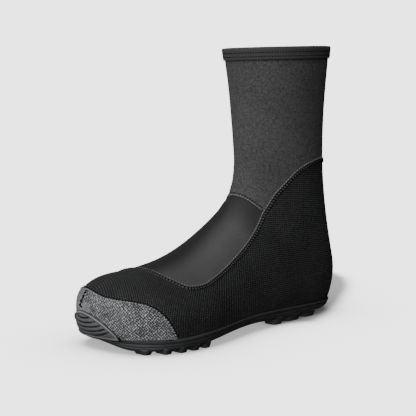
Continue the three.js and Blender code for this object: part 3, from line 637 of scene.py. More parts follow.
def makeUpper():
    s = upperShape
    along = ringPlaces()
    left = featherReach(along, 0, 1)
    right = featherReach(along, 0, -1)
    share = np.linspace(-1, 1, s["aroundSteps"] + 1)
    around = np.where(share[None, :] > 0, share[None, :] * left[:, None], share[None, :] * right[:, None])
    grid = np.broadcast_to(along[:, None], around.shape)
    normal = surfaceNormal(grid, around)
    outside = surfacePoint(grid, around) + normal * foldDepth(grid, around)[..., None]
    weave = weaveAt(outside, around)
    tip = surfacePoint(-1, 0.0)
    rows, columns = around.shape

    seamAt = np.interp(grid, [p[0] for p in sideSeam[2:]], [p[1] for p in sideSeam[2:]])
    turn = np.abs(np.degrees(around))
    ankleAt = np.interp(turn, [p[1] for p in ankleSeam[::-1]], [p[0] for p in ankleSeam[::-1]])
    inner = (turn < seamAt) & (grid > 0.0235)
    panel = np.where(grid > sideSeam[-1][0], 1, np.where(inner, np.where(grid > ankleAt, 1, 2), 0))

    insideRows = list(range(0, rows - 1, s["insideEvery"])) + [rows - 1]
    inside = (surfacePoint(grid, around) - normal * last["wall"])[insideRows]
    insideWeave = weave[insideRows]
    tipIn = tip - np.array([last["wall"], 0, 0])

    points = np.concatenate([outside.reshape(-1, 3), inside.reshape(-1, 3), [tip], [tipIn]])
    weaves = np.concatenate([weave.reshape(-1, 3), insideWeave.reshape(-1, 3), [weave[0, 0]], [weave[0, 0]]])
    # painted sheen: the instep's colour is painted lit on its outer half and shaded on its inner half, less
    # lit toward the ankle
    n = instepKnit
    lit = np.clip((np.degrees(around) - n["litFrom"]) / n["litRun"], 0, 1)
    lit = eased(lit)
    lit = lit * np.clip((n["topAt"] - grid) / n["topRun"], 0.25, 1)
    paintedSheens = np.concatenate([lit.reshape(-1), lit[insideRows].reshape(-1), [0, 0]])
    paintedSheens = np.repeat(paintedSheens[:, None], 3, axis=1)
    base = rows * columns
    insideCount = len(insideRows)
    outerFaces = gridFaces(rows, columns)
    innerFaces = gridFaces(insideCount, columns, base, flip=True)
    faces = outerFaces.tolist() + innerFaces.tolist()
    slotOf = panel[:-1, :-1].reshape(-1).tolist() + [3] * len(innerFaces)
    # the top edge and the two lower edges
    topOut = (rows - 1) * columns
    topIn = base + (insideCount - 1) * columns
    for c in range(columns - 1):
        faces.append((topOut + c, topOut + c + 1, topIn + c + 1, topIn + c))
    for c, flip in ((0, False), (columns - 1, True)):
        for k in range(insideCount - 1):
            a, b = insideRows[k], insideRows[k + 1]
            run = [r * columns + c for r in range(a, b + 1)]
            face = run + [base + (k + 1) * columns + c, base + k * columns + c]
            faces.append(tuple(face[::-1] if flip else face))
    tipId, tipInId = len(points) - 2, len(points) - 1
    for c in range(columns - 1):
        faces.append((c + 1, c, tipId))
        faces.append((base + c, base + c + 1, tipInId))
    slotOf += [3] * (len(faces) - len(slotOf))
    obj = meshPiece("upperShell", points, [tuple(f) for f in faces], ["rib", "shaft", "instep", "lining"],
                    slotOf, {"weave": weaves, "shine": paintedSheens})
    weldedPiece(obj)
    return settle(obj, "knit_shell", "upper")


upperShell = makeUpper()
print("upper made", len(upperShell.data.polygons), "faces")


# Toe cap and toe guard are laid on the toe from an upright axis inside it

toeAxis = {"x": 0.250, "y": -0.010}
skinBase = 0.45 * mm
overBead = 2.5 * mm


def toeTree():
    along = np.concatenate([np.linspace(-1, 0, 150)[1:], np.linspace(0, 0.22, 90)[1:]])
    around = np.linspace(0, 2 * math.pi, 361)[:-1]
    grid = surfacePoint(along[:, None], around[None, :])
    points = np.concatenate([grid.reshape(-1, 3), [surfacePoint(-1, 0.0)]])
    faces = gridFaces(len(along), len(around), closed=True).tolist()
    tip = len(points) - 1
    faces += [(c, (c + 1) % 360, tip) for c in range(360)]
    return BVHTree.FromPolygons(points.tolist(), faces)


tree = toeTree()


def toeHit(turn, z):
    start = Vector((toeAxis["x"], toeAxis["y"], z))
    hit = tree.ray_cast(start, Vector((math.cos(turn), math.sin(turn), 0)))
    return np.array(hit[0]) if hit[0] is not None else np.array([np.nan] * 3)


def toeGrid(turns, lows, highs, rows):
    grid = np.array([[toeHit(t, lo + (hi - lo) * k / (rows - 1)) for k in range(rows)]
                     for t, lo, hi in zip(turns, lows, highs)])
    across = np.gradient(grid, axis=0)
    upward = np.gradient(grid, axis=1)
    normal = unit(np.cross(across, upward))
    return grid, normal


def patchPiece(name, grid, normal, low, high, slots, attributes=None):
    rows, columns = grid.shape[:2]
    top = grid + normal * high[..., None]
    bottom = grid + normal * low
    points = np.concatenate([top.reshape(-1, 3), bottom.reshape(-1, 3)])
    count = rows * columns
    faces = gridFaces(rows, columns).tolist() + gridFaces(rows, columns, count, flip=True).tolist()
    border = [(r, 0) for r in range(rows)] + [(rows - 1, c) for c in range(1, columns)]
    border += [(r, columns - 1) for r in range(rows - 2, -1, -1)]
    border += [(0, c) for c in range(columns - 2, 0, -1)]
    ids = [r * columns + c for r, c in border]
    for k, a in enumerate(ids):
        b = ids[(k + 1) % len(ids)]
        faces.append((b, a, a + count, b + count))
    doubled = {key: np.concatenate([v.reshape(-1, 3)] * 2) for key, v in (attributes or {}).items()}
    obj = meshPiece(name, points, [tuple(f) for f in faces], slots, None, doubled)
    return weldedPiece(obj)


capEdge = {
    "side": [(0.153, 0.06), (0.145, 0.115), (0.136, 0.171), (0.125, 0.225), (0.111, 0.281), (0.096, 0.328),
             (0.080, 0.356), (0.066, 0.400), (0.055, 0.470)],
    "front": [(-0.60, 0.360), (-0.42, 0.398), (-0.24, 0.432), (-0.145, 0.4255), (-0.03, 0.405), (0.05, 0.395),
              (0.14, 0.3875), (0.24, 0.379), (0.31, 0.3655), (0.36, 0.349), (0.42, 0.325), (0.60, 0.270)],
    "thickness": 1.0 * mm, "bead": 0.28 * mm, "steps": 420, "rows": 112,
    "seamY": -21 * mm, "patchTo": -9 * mm, "patchTop": 42 * mm,
}
guardShape = {
    "lateral": 37.5 * mm, "medial": 25 * mm, "height": 21.5 * mm, "middle": -0.174, "ends": 0.112,
    "power": 1.6, "thickness": 1.8 * mm, "rim": 0.9 * mm, "rimWidth": 2.6 * mm, "pitch": 3.65 * mm,
    "grooveWidth": 1.7 * mm, "grooveDepth": 0.7 * mm, "steps": 260, "rows": 110,
    "grooves": [(8.3, 1.72), (7.35, 1.30), (6.1, 0.96), (4.65, 0.64), (2.9, 0.45)], "firstGroove": 0.15,
    # the outer tip past this share of the outer reach, and a strip this many mm up from the foot, are painted
    # as shade
    "shadedTipFrom": 0.94, "shadedFootRun": 1.5,
}

sideX = np.array([last["length"] * (1 - p[0]) for p in capEdge["side"]])
sideZ = np.array([p[1] * last["instep"] for p in capEdge["side"]])
frontY = np.array([p[0] * last["ball"] for p in capEdge["front"]])
frontZ = np.array([p[1] * last["instep"] for p in capEdge["front"]])
sideCurve = naturalCurve(sideZ, sideX)
frontCurve = naturalCurve(frontZ, frontY)


def capTop(turn):
    z = 30 * mm
    for _ in range(24):
        p = toeHit(turn, z)
        limit = float(frontCurve(np.clip(p[1], frontY[0], frontY[-1])))
        if p[0] < sideX[-1]:
            limit = min(limit, float(sideCurve(max(p[0], sideX[0]))) - max(0, sideX[0] - p[0]) * 1.5)
        z += 0.45 * (limit - z)
    return z


def guardTop(turn):
    g = guardShape
    z = 24 * mm
    base = g["ends"] * last["instep"]
    for _ in range(16):
        y = toeHit(turn, z)[1] - g["middle"] * last["ball"]
        share = abs(y) / (g["lateral"] if y > 0 else g["medial"])
        limit = base + g["height"] * max(0, 1 - share ** g["power"]) ** (1 / g["power"])
        z += 0.5 * (limit - z)
    return z


def lowAt(turn):
    p = toeHit(turn, 14 * mm)
    return float(featherAt(p[0])) + overBead


def lineBetween(topOf, steps, start, end):
    turns = np.radians(np.linspace(start, end, 400))
    good = [t for t in turns if topOf(t) > lowAt(t) + 0.15 * mm]
    turns = np.linspace(good[0], good[-1], steps)
    lows = np.array([lowAt(t) for t in turns])
    highs = np.maximum(np.array([topOf(t) for t in turns]), lows + 0.05 * mm)
    return turns, lows, highs


def borderDistance(grid):
    edge = np.concatenate([grid[:, 0], grid[:, -1], grid[0], grid[-1]])
    flat = grid.reshape(-1, 3)
    best = np.full(len(flat), np.inf)
    for chunk in np.array_split(np.arange(len(edge)), 12):
        gap = np.linalg.norm(flat[:, None, :] - edge[None, chunk, :], axis=-1)
        best = np.minimum(best, gap.min(axis=1))
    return best.reshape(grid.shape[:2])


def makeToeCap():
    c = capEdge
    turns, lows, highs = lineBetween(capTop, c["steps"], -112, 100)
    grid, normal = toeGrid(turns, lows, highs, c["rows"])
    arc = runOf(grid[:, 30])
    up = np.concatenate([np.zeros((len(grid), 1)),
                         np.cumsum(np.linalg.norm(np.diff(grid, axis=1), axis=-1), axis=1)], axis=1)
    a = arc[:, None] / mm * (2 * math.pi / capFabric["pitch"]) + 0 * up
    b = up / mm * (2 * math.pi / capFabric["pitch"])
    a = a + 0.9 * np.sin(0.31 * b + 1.7 * np.sin(0.17 * a)) + 0.5 * np.sin(0.83 * b + 0.2 * a)
    b = b + 0.8 * np.sin(0.27 * a + 1.3 * np.sin(0.19 * b)) + 0.5 * np.sin(0.71 * a - 0.3 * b)
    size = np.random.default_rng(5).uniform(0.35, 1.15, (997, 997))
    size = size[np.round(a / math.pi).astype(int) % 997, np.round(b / math.pi).astype(int) % 997]
    bead = np.clip(np.cos(a) * np.cos(b), 0, 1) ** 0.65 * size
    gap = borderDistance(grid)
    edge = np.clip(gap / (0.6 * mm), 0, 1)
    round_ = np.sqrt(1 - (1 - edge) ** 2)
    fade = np.clip(gap / (1.2 * mm), 0, 1)
    # smoother past the front seam and in the small patch over the guard
    smooth = np.clip((c["seamY"] - grid[..., 1]) / (1.5 * mm), 0, 1)
    patch = np.clip((c["patchTo"] - grid[..., 1]) / (2.5 * mm), 0, 1)
    patch = patch * np.clip((c["patchTop"] - grid[..., 2]) / mm, 0, 1)
    fade = fade * (1 - 0.65 * np.maximum(smooth, patch))
    high = skinBase + c["thickness"] * round_ + c["bead"] * (bead - 0.3) * fade
    beads = np.stack([bead * fade + 0.30 * (1 - fade), gap / mm, up / mm], -1)
    obj = patchPiece("toeCap", grid, normal, skinBase - 0.2 * mm, high, ["cap"], {"bead": beads})
    return settle(obj, "abrasion_fabric", "toe_cap"), grid, normal


toeCap, capGrid, capNormal = makeToeCap()
print("toe cap made", len(toeCap.data.polygons), "faces")


def makeToeGuard():
    g = guardShape
    turns, lows, highs = lineBetween(guardTop, g["steps"], -100, 80)
    grid, normal = toeGrid(turns, lows, highs, g["rows"])
    gap = borderDistance(grid)
    edge = np.clip(gap / (0.9 * mm), 0, 1)
    round_ = np.sqrt(1 - (1 - edge) ** 2)
    rim = np.clip((g["rimWidth"] - gap) / (0.9 * mm), 0, 1)
    rim = eased(rim)
    y = grid[..., 1] - g["middle"] * last["ball"]
    depth = np.zeros_like(y)
    base = g["ends"] * last["instep"]
    for k, (half, rise) in enumerate(g["grooves"]):
        reach = half * g["pitch"] * np.where(y > 0, 1, g["medial"] / g["lateral"])
        share = y / reach
        line = base + g["pitch"] * (k + g["firstGroove"]) + rise * g["pitch"] * share ** 2
        off = np.abs(grid[..., 2] - line) / (0.5 * g["grooveWidth"])
        trough = np.clip(1.25 - off, 0, 1)
        trough = eased(trough) * np.clip((1 - np.abs(share)) * 12, 0, 1)
        depth = np.maximum(depth, trough)
    low = skinBase + capEdge["thickness"]
    high = skinBase + g["thickness"] - g["grooveDepth"] * depth * (1 - rim) + g["rim"] * rim
    high = low + (high - low) * round_
    crest = np.clip(1 - np.abs(gap - 0.5 * g["rimWidth"]) / (0.8 * mm), 0, 1) * rim
    # painted highlight: a thin bright line along the rim and rib faces a little paler than the grooves;
    # painted shade: the grooves, a dark line just inside the rim on the outer side, the outer tip and a strip
    # along the foot
    above = np.clip((grid[..., 2] - base) / g["pitch"] - g["firstGroove"], -0.5, 5)
    inner = np.clip(1 - np.abs(gap - g["rimWidth"] - 0.3 * mm) / (0.5 * mm), 0, 1) * (y > 0)
    # painted shade at the outer tip and along the foot, where the guard meets the sole
    tip = np.clip((y / g["lateral"] - g["shadedTipFrom"]) * 25, 0, 1)
    foot = np.clip(g["shadedFootRun"] - (grid[..., 2] - grid[:, :1, 2]) / mm, 0, 1)
    shadeOf = np.clip(np.maximum(1.6 * depth * (1 - rim), inner), 0, 1)
    shadeOf = np.maximum(shadeOf, np.maximum(tip, foot))
    pale = (crest + 0.2 * (1 - depth) * (1 - rim)) * (1 - np.maximum(tip, foot))
    relief = np.stack([shadeOf, pale, above], -1)
    obj = patchPiece("toeGuard", grid, normal, low, high, ["guard"], {"relief": relief})
    return settle(obj, "guard_rubber", "toe_guard")


toeGuard = makeToeGuard()
print("toe guard made", len(toeGuard.data.polygons), "faces")


# Sole: lip, stepped side, arch, toe spring and lugs

soleShape = {
    "steps": 480, "bead": 2.1 * mm, "beadWidth": 1.7 * mm, "hold": 0.35 * mm,
    "tipFrom": 0.935, "tipRun": 0.035, "tipLoss": 0.7,
    # out in mm from the feather line, level 1 at the feather line and 0 at the underside
    "side": [(2.1, 0.94), (1.75, 0.90), (1.35, 0.86), (1.35, 0.82), (1.6, 0.78), (1.65, 0.62), (1.5, 0.57),
             (0.95, 0.54), (0.9, 0.50), (1.05, 0.46), (1.05, 0.31), (0.85, 0.26), (0.25, 0.22),
             (0.15, 0.15), (-0.3, 0.06), (-0.9, 0.02), (-2.2, 0.0)],
    "heelLugs": [(0.350, 0.052, 1.0), (0.268, 0.084, 1.1), (0.178, 0.072, 1.1)],
    "foreLugs": (0.682, 0.895, 5), "lugSlant": 12 * mm, "lugGap": 3.6 * mm, "lugWidth": 17 * mm,
    "taper": 1.2 * mm,
}


def outlineAt(rise, steps):
    toe, heel = toeAndHeel(rise)
    turn = np.linspace(0, math.pi, 900)
    along = toe + (heel - toe) * (0.5 - 0.5 * np.cos(turn))
    halves = []
    for side in (1, -1):
        reach = featherReach(along[1:-1], rise, side)
        line = surfacePoint(along[1:-1], side * reach)
        ends = surfacePoint(np.array([toe, heel]), np.array([math.pi, math.pi]))
        halves.append(np.concatenate([ends[:1], line, ends[1:]]))
    loop = np.concatenate([halves[0], halves[1][::-1][1:-1]])
    closed = np.concatenate([loop, loop[:1]])
    run = runOf(closed)
    fine = pointsAt(np.linspace(0, run[-1], 6000), run, closed)[:-1]
    tip, back = int(np.argmax(fine[:, 0])), int(np.argmin(fine[:, 0]))
    back = back if back > tip else back + len(fine)
    first = tip + (back - tip) * np.arange(steps // 2) / (steps // 2)
    second = back + (tip + len(fine) - back) * np.arange(steps // 2) / (steps // 2)
    pick = np.concatenate([first, second]) % len(fine)
    out = pointsAt(pick, np.arange(len(fine) + 1), np.concatenate([fine, fine[:1]]))
    for _ in range(6):
        out = 0.5 * out + 0.25 * (np.roll(out, 1, 0) + np.roll(out, -1, 0))
    return out


def spread(outline, out, lip=0.0):
    # The lip draws in round the toe tip, under the guard.
    way = unit((np.roll(outline, -1, 0) - np.roll(outline, 1, 0)) * [1, 1, 0])
    place = (outline[:, :1] - last["springSlant"] * outline[:, 1:2]) / last["length"]
    tip = np.clip((place - soleShape["tipFrom"]) / soleShape["tipRun"], 0, 1)
    reach = out + lip * (1 - soleShape["tipLoss"] * eased(tip))
    return outline + np.stack([way[:, 1], -way[:, 0], 0 * way[:, 0]], -1) * reach


def roundedBlock(corners, low, high, taper, radius=0.8 * mm):
    # A lug: rings from its foot up, with a rolled lower edge.
    def ring(grow, z):
        centre = corners.mean(0)
        n = len(corners)
        rounded = []
        for i in range(n):
            before, here, after = corners[i - 1], corners[i], corners[(i + 1) % n]
            for t in np.linspace(0, 1, 5):
                a = here + (before - here) * 0.28 * (1 - t)
                b = here + (after - here) * 0.28 * t
                rounded.append(a * (1 - t) + b * t)
        rounded = np.array(rounded)
        away = unit(rounded - centre)
        return np.concatenate([rounded + away * grow, np.full((len(rounded), 1), z)], axis=1)
    rings = [ring(-taper - radius, low), ring(-taper - 0.35 * radius, low + 0.1 * radius),
             ring(-taper, low + 0.7 * radius)]
    rings += [ring(-taper * (1 - t), low + 0.7 * radius + (0.55 * high - low - 0.7 * radius) * t)
              for t in (0.5, 1)]
    rings += [ring(0.25 * mm, 0.8 * high), ring(0.9 * mm, high)]
    return rings


def makeSole():
    s = soleShape
    n = s["steps"]
    feather = outlineAt(0, n)
    half = outlineAt(0.45 * s["bead"], n)
    above = outlineAt(s["bead"], n)
    lift = np.array([0, 0, 1])
    rings = [
        spread(feather, s["hold"]) - lift * 0.3 * mm,
        spread(half, s["hold"]),
        spread(above, s["hold"]) - lift * 0.25 * mm,
        spread(above, s["hold"], 0.2 * s["beadWidth"]) + lift * 0.05 * mm,
        spread(above, s["hold"], 0.5 * s["beadWidth"]) + lift * 0.12 * mm,
        spread(above, s["hold"], 0.85 * s["beadWidth"]) - lift * 0.15 * mm,
        spread(half, s["hold"], 1.02 * s["beadWidth"]) + lift * 0.25 * mm,
        spread(half, s["hold"], 1.02 * s["beadWidth"]) - lift * 0.35 * mm,
    ]
    for out, level in s["side"]:
        ring = spread(feather, 0.0, out * mm)
        low = undersideAt(ring[:, 0], ring[:, 1])
        ring[:, 2] = low + level * (featherAt(ring[:, 0]) - low)
        rings.append(ring)
    points = np.concatenate(rings)
    faces = gridFaces(len(rings), n, closed=True, flip=True).tolist()
    # top and underside, strips from side to side with points across
    across = 14

    def cap(ring, base, flip, zOf):
        count = n // 2
        sheet = []
        for i in range(1, count):
            a, b = ring[i], ring[n - i]
            for k in range(1, across):
                p = a + (b - a) * k / across
                sheet.append([p[0], p[1], zOf(p[0], p[1])])
        start = len(allPoints)
        allPoints.extend(sheet)

        def at(i, k):
            if i == 0 or i == count:
                return base + (0 if i == 0 else count)
            if k == 0:
                return base + i
            if k == across:
                return base + n - i
            return start + (i - 1) * (across - 1) + k - 1
        for i in range(count):
            for k in range(across):
                face = [at(i, k), at(i + 1, k), at(i + 1, k + 1), at(i, k + 1)]
                face = list(dict.fromkeys(face))
                if len(face) > 2:
                    faces.append(tuple(face[::-1] if flip else face))
    allPoints = points.tolist()
    cap(rings[0], 0, False, lambda x, y: float(featherAt(x)) - 0.3 * mm)
    cap(rings[-1], (len(rings) - 1) * n, True, lambda x, y: float(undersideAt(x, y)))

    def lug(start, end, side, width):
        middle = (start + end) / 2
        edge = feather[(feather[:, 1] * side) > 0]
        outer = abs(edge[np.argmin(np.abs(edge[:, 0] - middle)), 1])
        inner = outer - width
        cut = 0.22 * (end - start)
        plan = np.array([[start, inner + cut], [start, outer - cut], [start + cut, outer], [end - cut, outer],
                         [end, outer - cut], [end, inner + cut], [end - cut, inner], [start + cut, inner]])
        plan[:, 1] *= side
        if side > 0:
            plan = plan[::-1]
        high = float(undersideAt(middle, side * outer)) + 1.9 * mm
        block = roundedBlock(plan, 0.0, high, s["taper"])
        base = len(allPoints)
        size = len(block[0])
        for ring in block:
            allPoints.extend(ring.tolist())
        faces.extend(gridFaces(len(block), size, base, closed=True).tolist())
        faces.append(tuple(range(base + size - 1, base - 1, -1)))
        top = base + (len(block) - 1) * size
        faces.append(tuple(range(top, top + size)))

    for side in (1, -1):
        for x, share, width in s["heelLugs"]:
            start, end = [(x + k * share / 2) * last["length"] for k in (-1, 1)]
            lug(start, end, side, width * s["lugWidth"])
        start, end, count = s["foreLugs"]
        pitch = ((end - start) * last["length"] + s["lugGap"]) / count
        for k in range(count):
            x = start * last["length"] + k * pitch + side * s["lugSlant"]
            lug(x, x + pitch - s["lugGap"], side, s["lugWidth"])
    obj = meshPiece("soleUnit", np.array(allPoints), [tuple(f) for f in faces], ["sole"])
    return settle(obj, "sole_rubber", "sole")


soleUnit = makeSole()
print("sole made", len(soleUnit.data.polygons), "faces")


# Collar binding, with its twin rows of stitches

bindingShape = {"thickness": 1.1 * mm, "depth": 10.5 * mm, "lining": 8 * mm, "steps": 300,
                "rows": (3.4, 7.2), "pitch": 2.6 * mm, "stitch": 0.62, "thread": 0.55 * mm}


def collarPoint(around, off, rise):
    around = np.asarray(around, float)
    step = 0.01
    rim = surfacePoint(1.0, around)
    below = surfacePoint(1.0 - step, around)
    rate = np.linalg.norm(rim - below, axis=-1) / step
    low = bodyPoint(1.0 + np.minimum(rise, 0) / rate, around, off)
    return low + unit(rim - below) * np.maximum(rise, 0)


def makeBinding():
    b = bindingShape
    outer, inner = skinBase, -last["wall"] - skinBase
    t, top = b["thickness"], 0.3 * mm + b["thickness"]
    profile = [
        (outer, 0.3 * mm), (outer, -b["depth"] + 0.4 * mm), (outer + 0.25 * t, -b["depth"]),
        (outer + 0.75 * t, -b["depth"]), (outer + t, -b["depth"] + 0.4 * mm), (outer + 1.02 * t, -8.6 * mm),
        (outer + 0.86 * t, -7.2 * mm), (outer + 1.08 * t, -5.4 * mm), (outer + 0.86 * t, -3.4 * mm),
        (outer + 1.12 * t, -1.6 * mm), (outer + 1.05 * t, -0.2 * mm), (outer + 0.7 * t, 0.75 * top),
        (outer + 0.1 * t, top), (inner - 0.1 * t, top), (inner - 0.7 * t, 0.75 * top), (inner - t, -0.2 * mm),
        (inner - t, -b["lining"] + 0.4 * mm), (inner - 0.6 * t, -b["lining"]),
        (inner, -b["lining"] + 0.2 * mm),
        (inner, 0.3 * mm),
    ]
    around = np.linspace(0, 2 * math.pi, b["steps"] + 1)[:-1]
    rings = [collarPoint(around, np.full(around.shape, off), rise) for off, rise in profile]
    points = np.concatenate(rings)
    faces = gridFaces(len(rings), b["steps"], closed=True).tolist()
    lastBase = (len(rings) - 1) * b["steps"]
    for c in range(b["steps"]):
        d = (c + 1) % b["steps"]
        faces.append((lastBase + c, lastBase + d, d, c))
    obj = meshPiece("collarBinding", points, [tuple(f) for f in faces], ["binding"])
    return settle(obj, "binding_fabric", "collar_binding")


collarBinding = makeBinding()
print("binding made")


# Raised seams and their stitches

seamShape = {
    "step": 1.0 * mm, "lift": 0.1 * mm,
    "tapeFrom": -2.3 * mm, "tapeTo": 0.5 * mm, "tapeThick": 0.5 * mm,
    "weltAt": 1.25 * mm, "weltWidth": 1.7 * mm, "weltThick": 0.8 * mm,
    "ankleBand": 2.5 * mm, "ankleThick": 0.7 * mm, "ankleMargin": 1.0 * mm,
}
# stitches in mm: pitch, first, across the seam, length (negative runs across), radius, height, slant
sideRows = {
    "seamSideBars": (3.0, 0, -1.1, -3.5, 0.85, 0.6, 0.4, "thread"),
    "seamSideDots": (3.0, 0, 1.45, 0.9, 0.36, 0.85, 0, "threadPale"),
    "seamSideGroove": (1.2, 0, 0.3, 1.4, 0.5, 0.55, 0, "thread"),
}
ankleRows = {
    "seamAnkleDark": (2.6, 0, -1.55, 1.2, 0.9, 0.7, 0, "thread"),
    "seamAnklePale": (2.6, 1.3, 0, 0.9, 0.36, 0.75, 0, "threadPale"),
    "seamAnkleEdge": (1.2, 0, 1.45, 1.4, 0.34, 0.25, 0, "thread"),
}


def seamPath(places, step):
    # Even steps along a line of places on the upper, with the way along, out and sideways.
    a = np.array(places, float)
    chord = np.concatenate([[0], np.cumsum(np.sqrt(np.linalg.norm(
        np.diff(a * [1, math.pi / 180], axis=0), axis=-1)))])
    dense = np.linspace(0, chord[-1], 3000)
    along, around = naturalCurve(a[:, 0], chord)(dense), np.radians(naturalCurve(a[:, 1], chord)(dense))
    line = surfacePoint(along, around)
    run = runOf(line)
    even = np.linspace(0, run[-1], int(run[-1] / step) + 1)
    along, around = np.interp(even, run, along), np.interp(even, run, around)
    normal = surfaceNormal(along, around)
    line = surfacePoint(along, around) + normal * foldDepth(along, around)[..., None]
    way = unit(np.gradient(line, axis=0))
    side = unit(np.cross(normal, way))
    return line, way, normal, side, even


def stripPiece(name, path, profile, slots, closed):
    line, _, normal, side, _ = path
    if closed:
        line, normal, side = line[:-1], normal[:-1], side[:-1]
    rings = [line + side * across + normal * up for across, up in profile]
    n, m = len(line), len(profile)
    points = np.stack(rings, 1).reshape(-1, 3)
    faces = []
    for i in range(n if closed else n - 1):
        j = (i + 1) % n
        for k in range(m):
            l = (k + 1) % m
            faces.append((i * m + k, i * m + l, j * m + l, j * m + k))
    if not closed:
        faces += [tuple(range(m - 1, -1, -1)), tuple(range((n - 1) * m, n * m))]
    return meshPiece(name, points, faces, slots)


def capsules(name, starts, ends, normals, radius, material, flatten=0.7, sides=6, rings=5):
    # Many small threads as one mesh: each a rounded rod from start to end.
    starts, ends, normals = np.asarray(starts), np.asarray(ends), np.asarray(normals)
    way = unit(ends - starts)
    side = unit(np.cross(normals, way))
    lift = unit(np.cross(way, side))
    points, count = [], len(starts)
    for r in range(rings):
        t = r / (rings - 1)
        thick = radius * math.sqrt(max(1 - (2 * t - 1) ** 4, 0.04))
        centre = starts + (ends - starts) * t
        for k in range(sides):
            turn = 2 * math.pi * k / sides
            points.append(centre + side * thick * math.cos(turn) + lift * thick * flatten * math.sin(turn))
    points = np.stack(points, 1).reshape(-1, 3)
    per = rings * sides
    faces = []
    for b in range(0, count * per, per):
        faces += gridFaces(rings, sides, b, closed=True, flip=True).tolist()
        faces.append(tuple(range(b, b + sides)))
        faces.append(tuple(range(b + per - 1, b + per - 1 - sides, -1)))
    return meshPiece(name, points, faces, [material])


def atDistance(path, distance):
    return [pointsAt(distance, path[4], values) for values in path[:4]]


def roundedBand(start, end, thickness, lift):
    # A low flat band with rolled edges, in the plane across a seam.
    middle, half = (start + end) / 2, (end - start) / 2
    crown = [(middle + half * math.cos(t), lift + thickness * math.sin(t) ** 0.5)
             for t in np.linspace(0, math.pi, 9)]
    return crown[::-1] + [(middle + 0.9 * half, 0.03 * mm), (middle - 0.9 * half, 0.03 * mm)]


def threadRows(table, path, margin=0.0):
    total = path[4][-1]
    for name, (*sizes, material) in table.items():
        pitch, first, shift, length, thick, lift, slant = [size * mm for size in sizes]
        count = max(2, int((total - 2 * margin) / pitch))
        places = margin + (np.arange(count) + 0.5) * (total - 2 * margin) / count + first
        line, way, normal, across = atDistance(path, places)
        centre = line + across * shift + normal * lift
        reach = way * (length / 2) if length > 0 else across * (length / 2) + way * slant
        settle(capsules(name, centre - reach, centre + reach, normal, thick, material, 0.8), "seam_thread")


def makeSideSeam():
    s = seamShape
    path = seamPath(sideSeam + [(a, 360 - r) for a, r in sideSeam[:-1][::-1]], s["step"])
    tape = stripPiece("seamSide", path, roundedBand(s["tapeFrom"], s["tapeTo"], s["tapeThick"], s["lift"]),
                      ["seam"], True)
    settle(tape, "seam_thread", "seam_side")
    low, high = s["weltAt"] - s["weltWidth"] / 2, s["weltAt"] + s["weltWidth"] / 2
    welt = stripPiece("seamSideWelt", path, roundedBand(low, high, s["weltThick"], s["lift"]),
                      ["seamPale"], True)
    settle(welt, "seam_thread")
    threadRows(sideRows, path)


def makeAnkleSeam():
    s = seamShape
    path = seamPath(ankleSeam + [(a, -r) for a, r in ankleSeam[:-1][::-1]], s["step"])
    half = s["ankleBand"] / 2
    band = stripPiece("seamAnkle", path, roundedBand(-half, half, s["ankleThick"], s["lift"]), ["seamPale"],
                      False)
    settle(band, "seam_thread", "seam_ankle")
    threadRows(ankleRows, path, s["ankleMargin"])


def makeCollarStitches():
    b = bindingShape
    around = np.linspace(0, 2 * math.pi, 1500)
    for k, depth in enumerate(b["rows"]):
        ring = collarPoint(around, np.full(around.shape, skinBase + b["thickness"] * 0.95), -depth * mm)
        run = runOf(ring)
        count = int(run[-1] / b["pitch"])
        d = np.arange(count) * run[-1] / count
        place = [pointsAt(x, run, ring) for x in (d, np.minimum(d + b["stitch"] * b["pitch"], run[-1]))]
        outward = unit((place[0] - ring.mean(0)) * [1, 1, 0])
        row = capsules("collarStitch" + str(k), *place, outward, b["thread"], "thread", 0.8)
        settle(row, "binding_fabric")


makeSideSeam()
makeAnkleSeam()
makeCollarStitches()
print("seams made")


# Thread along the edge of the toe cap

capRows = {
    # in mm: pitch, first, (above the edge, off the last) for the lower and the upper end, slant, radius
    "toeCapThread": (2.7, 0, (-1.1, 1.65), (1.2, 0.45), 0.35, 0.6, "thread"),
    "toeCapBeads": (2.7, 1.35, (-1.3, 1.6), (-1.2, 1.6), 0.45, 0.5, "threadPale"),
    "toeCapBeadsAbove": (2.7, 1.35, (1.9, 0.5), (2.0, 0.5), 0.5, 0.5, "seamPale"),
    "toeCapLine": (1.2, 0, (0.35, 0.7), (0.36, 0.7), 0.75, 0.62, "thread"),
}


def makeCapStitch():
    edge = capGrid[:, -1]
    normal = capNormal[:, -1]
    run = runOf(edge)

    for name, (pitch, first, low, high, slant, radius, material) in capRows.items():
        d = np.arange((2 + first) * mm, run[-1] - 2 * mm, pitch * mm)
        line = pointsAt(d, run, edge)
        out = unit(pointsAt(d, run, normal))
        way = unit(np.gradient(line, axis=0))
        upward = unit(np.cross(out, way))
        upward = upward * np.sign(upward[:, 2:3] + 1e-9)
        ends = [line + (upward * end[0] + out * end[1] + way * lean) * mm
                for end, lean in ((high, -slant), (low, slant))]
        settle(capsules(name, *ends, out, radius * mm, material, 0.8), "abrasion_fabric")


frontSeam = {"low": 37.5 * mm, "high": 52.5 * mm, "pitch": 1.9 * mm, "lift": 0.5 * mm,
             "inner": 1.7, "outer": 1.5, "radius": 0.7 * mm, "lineRadius": 0.6 * mm}


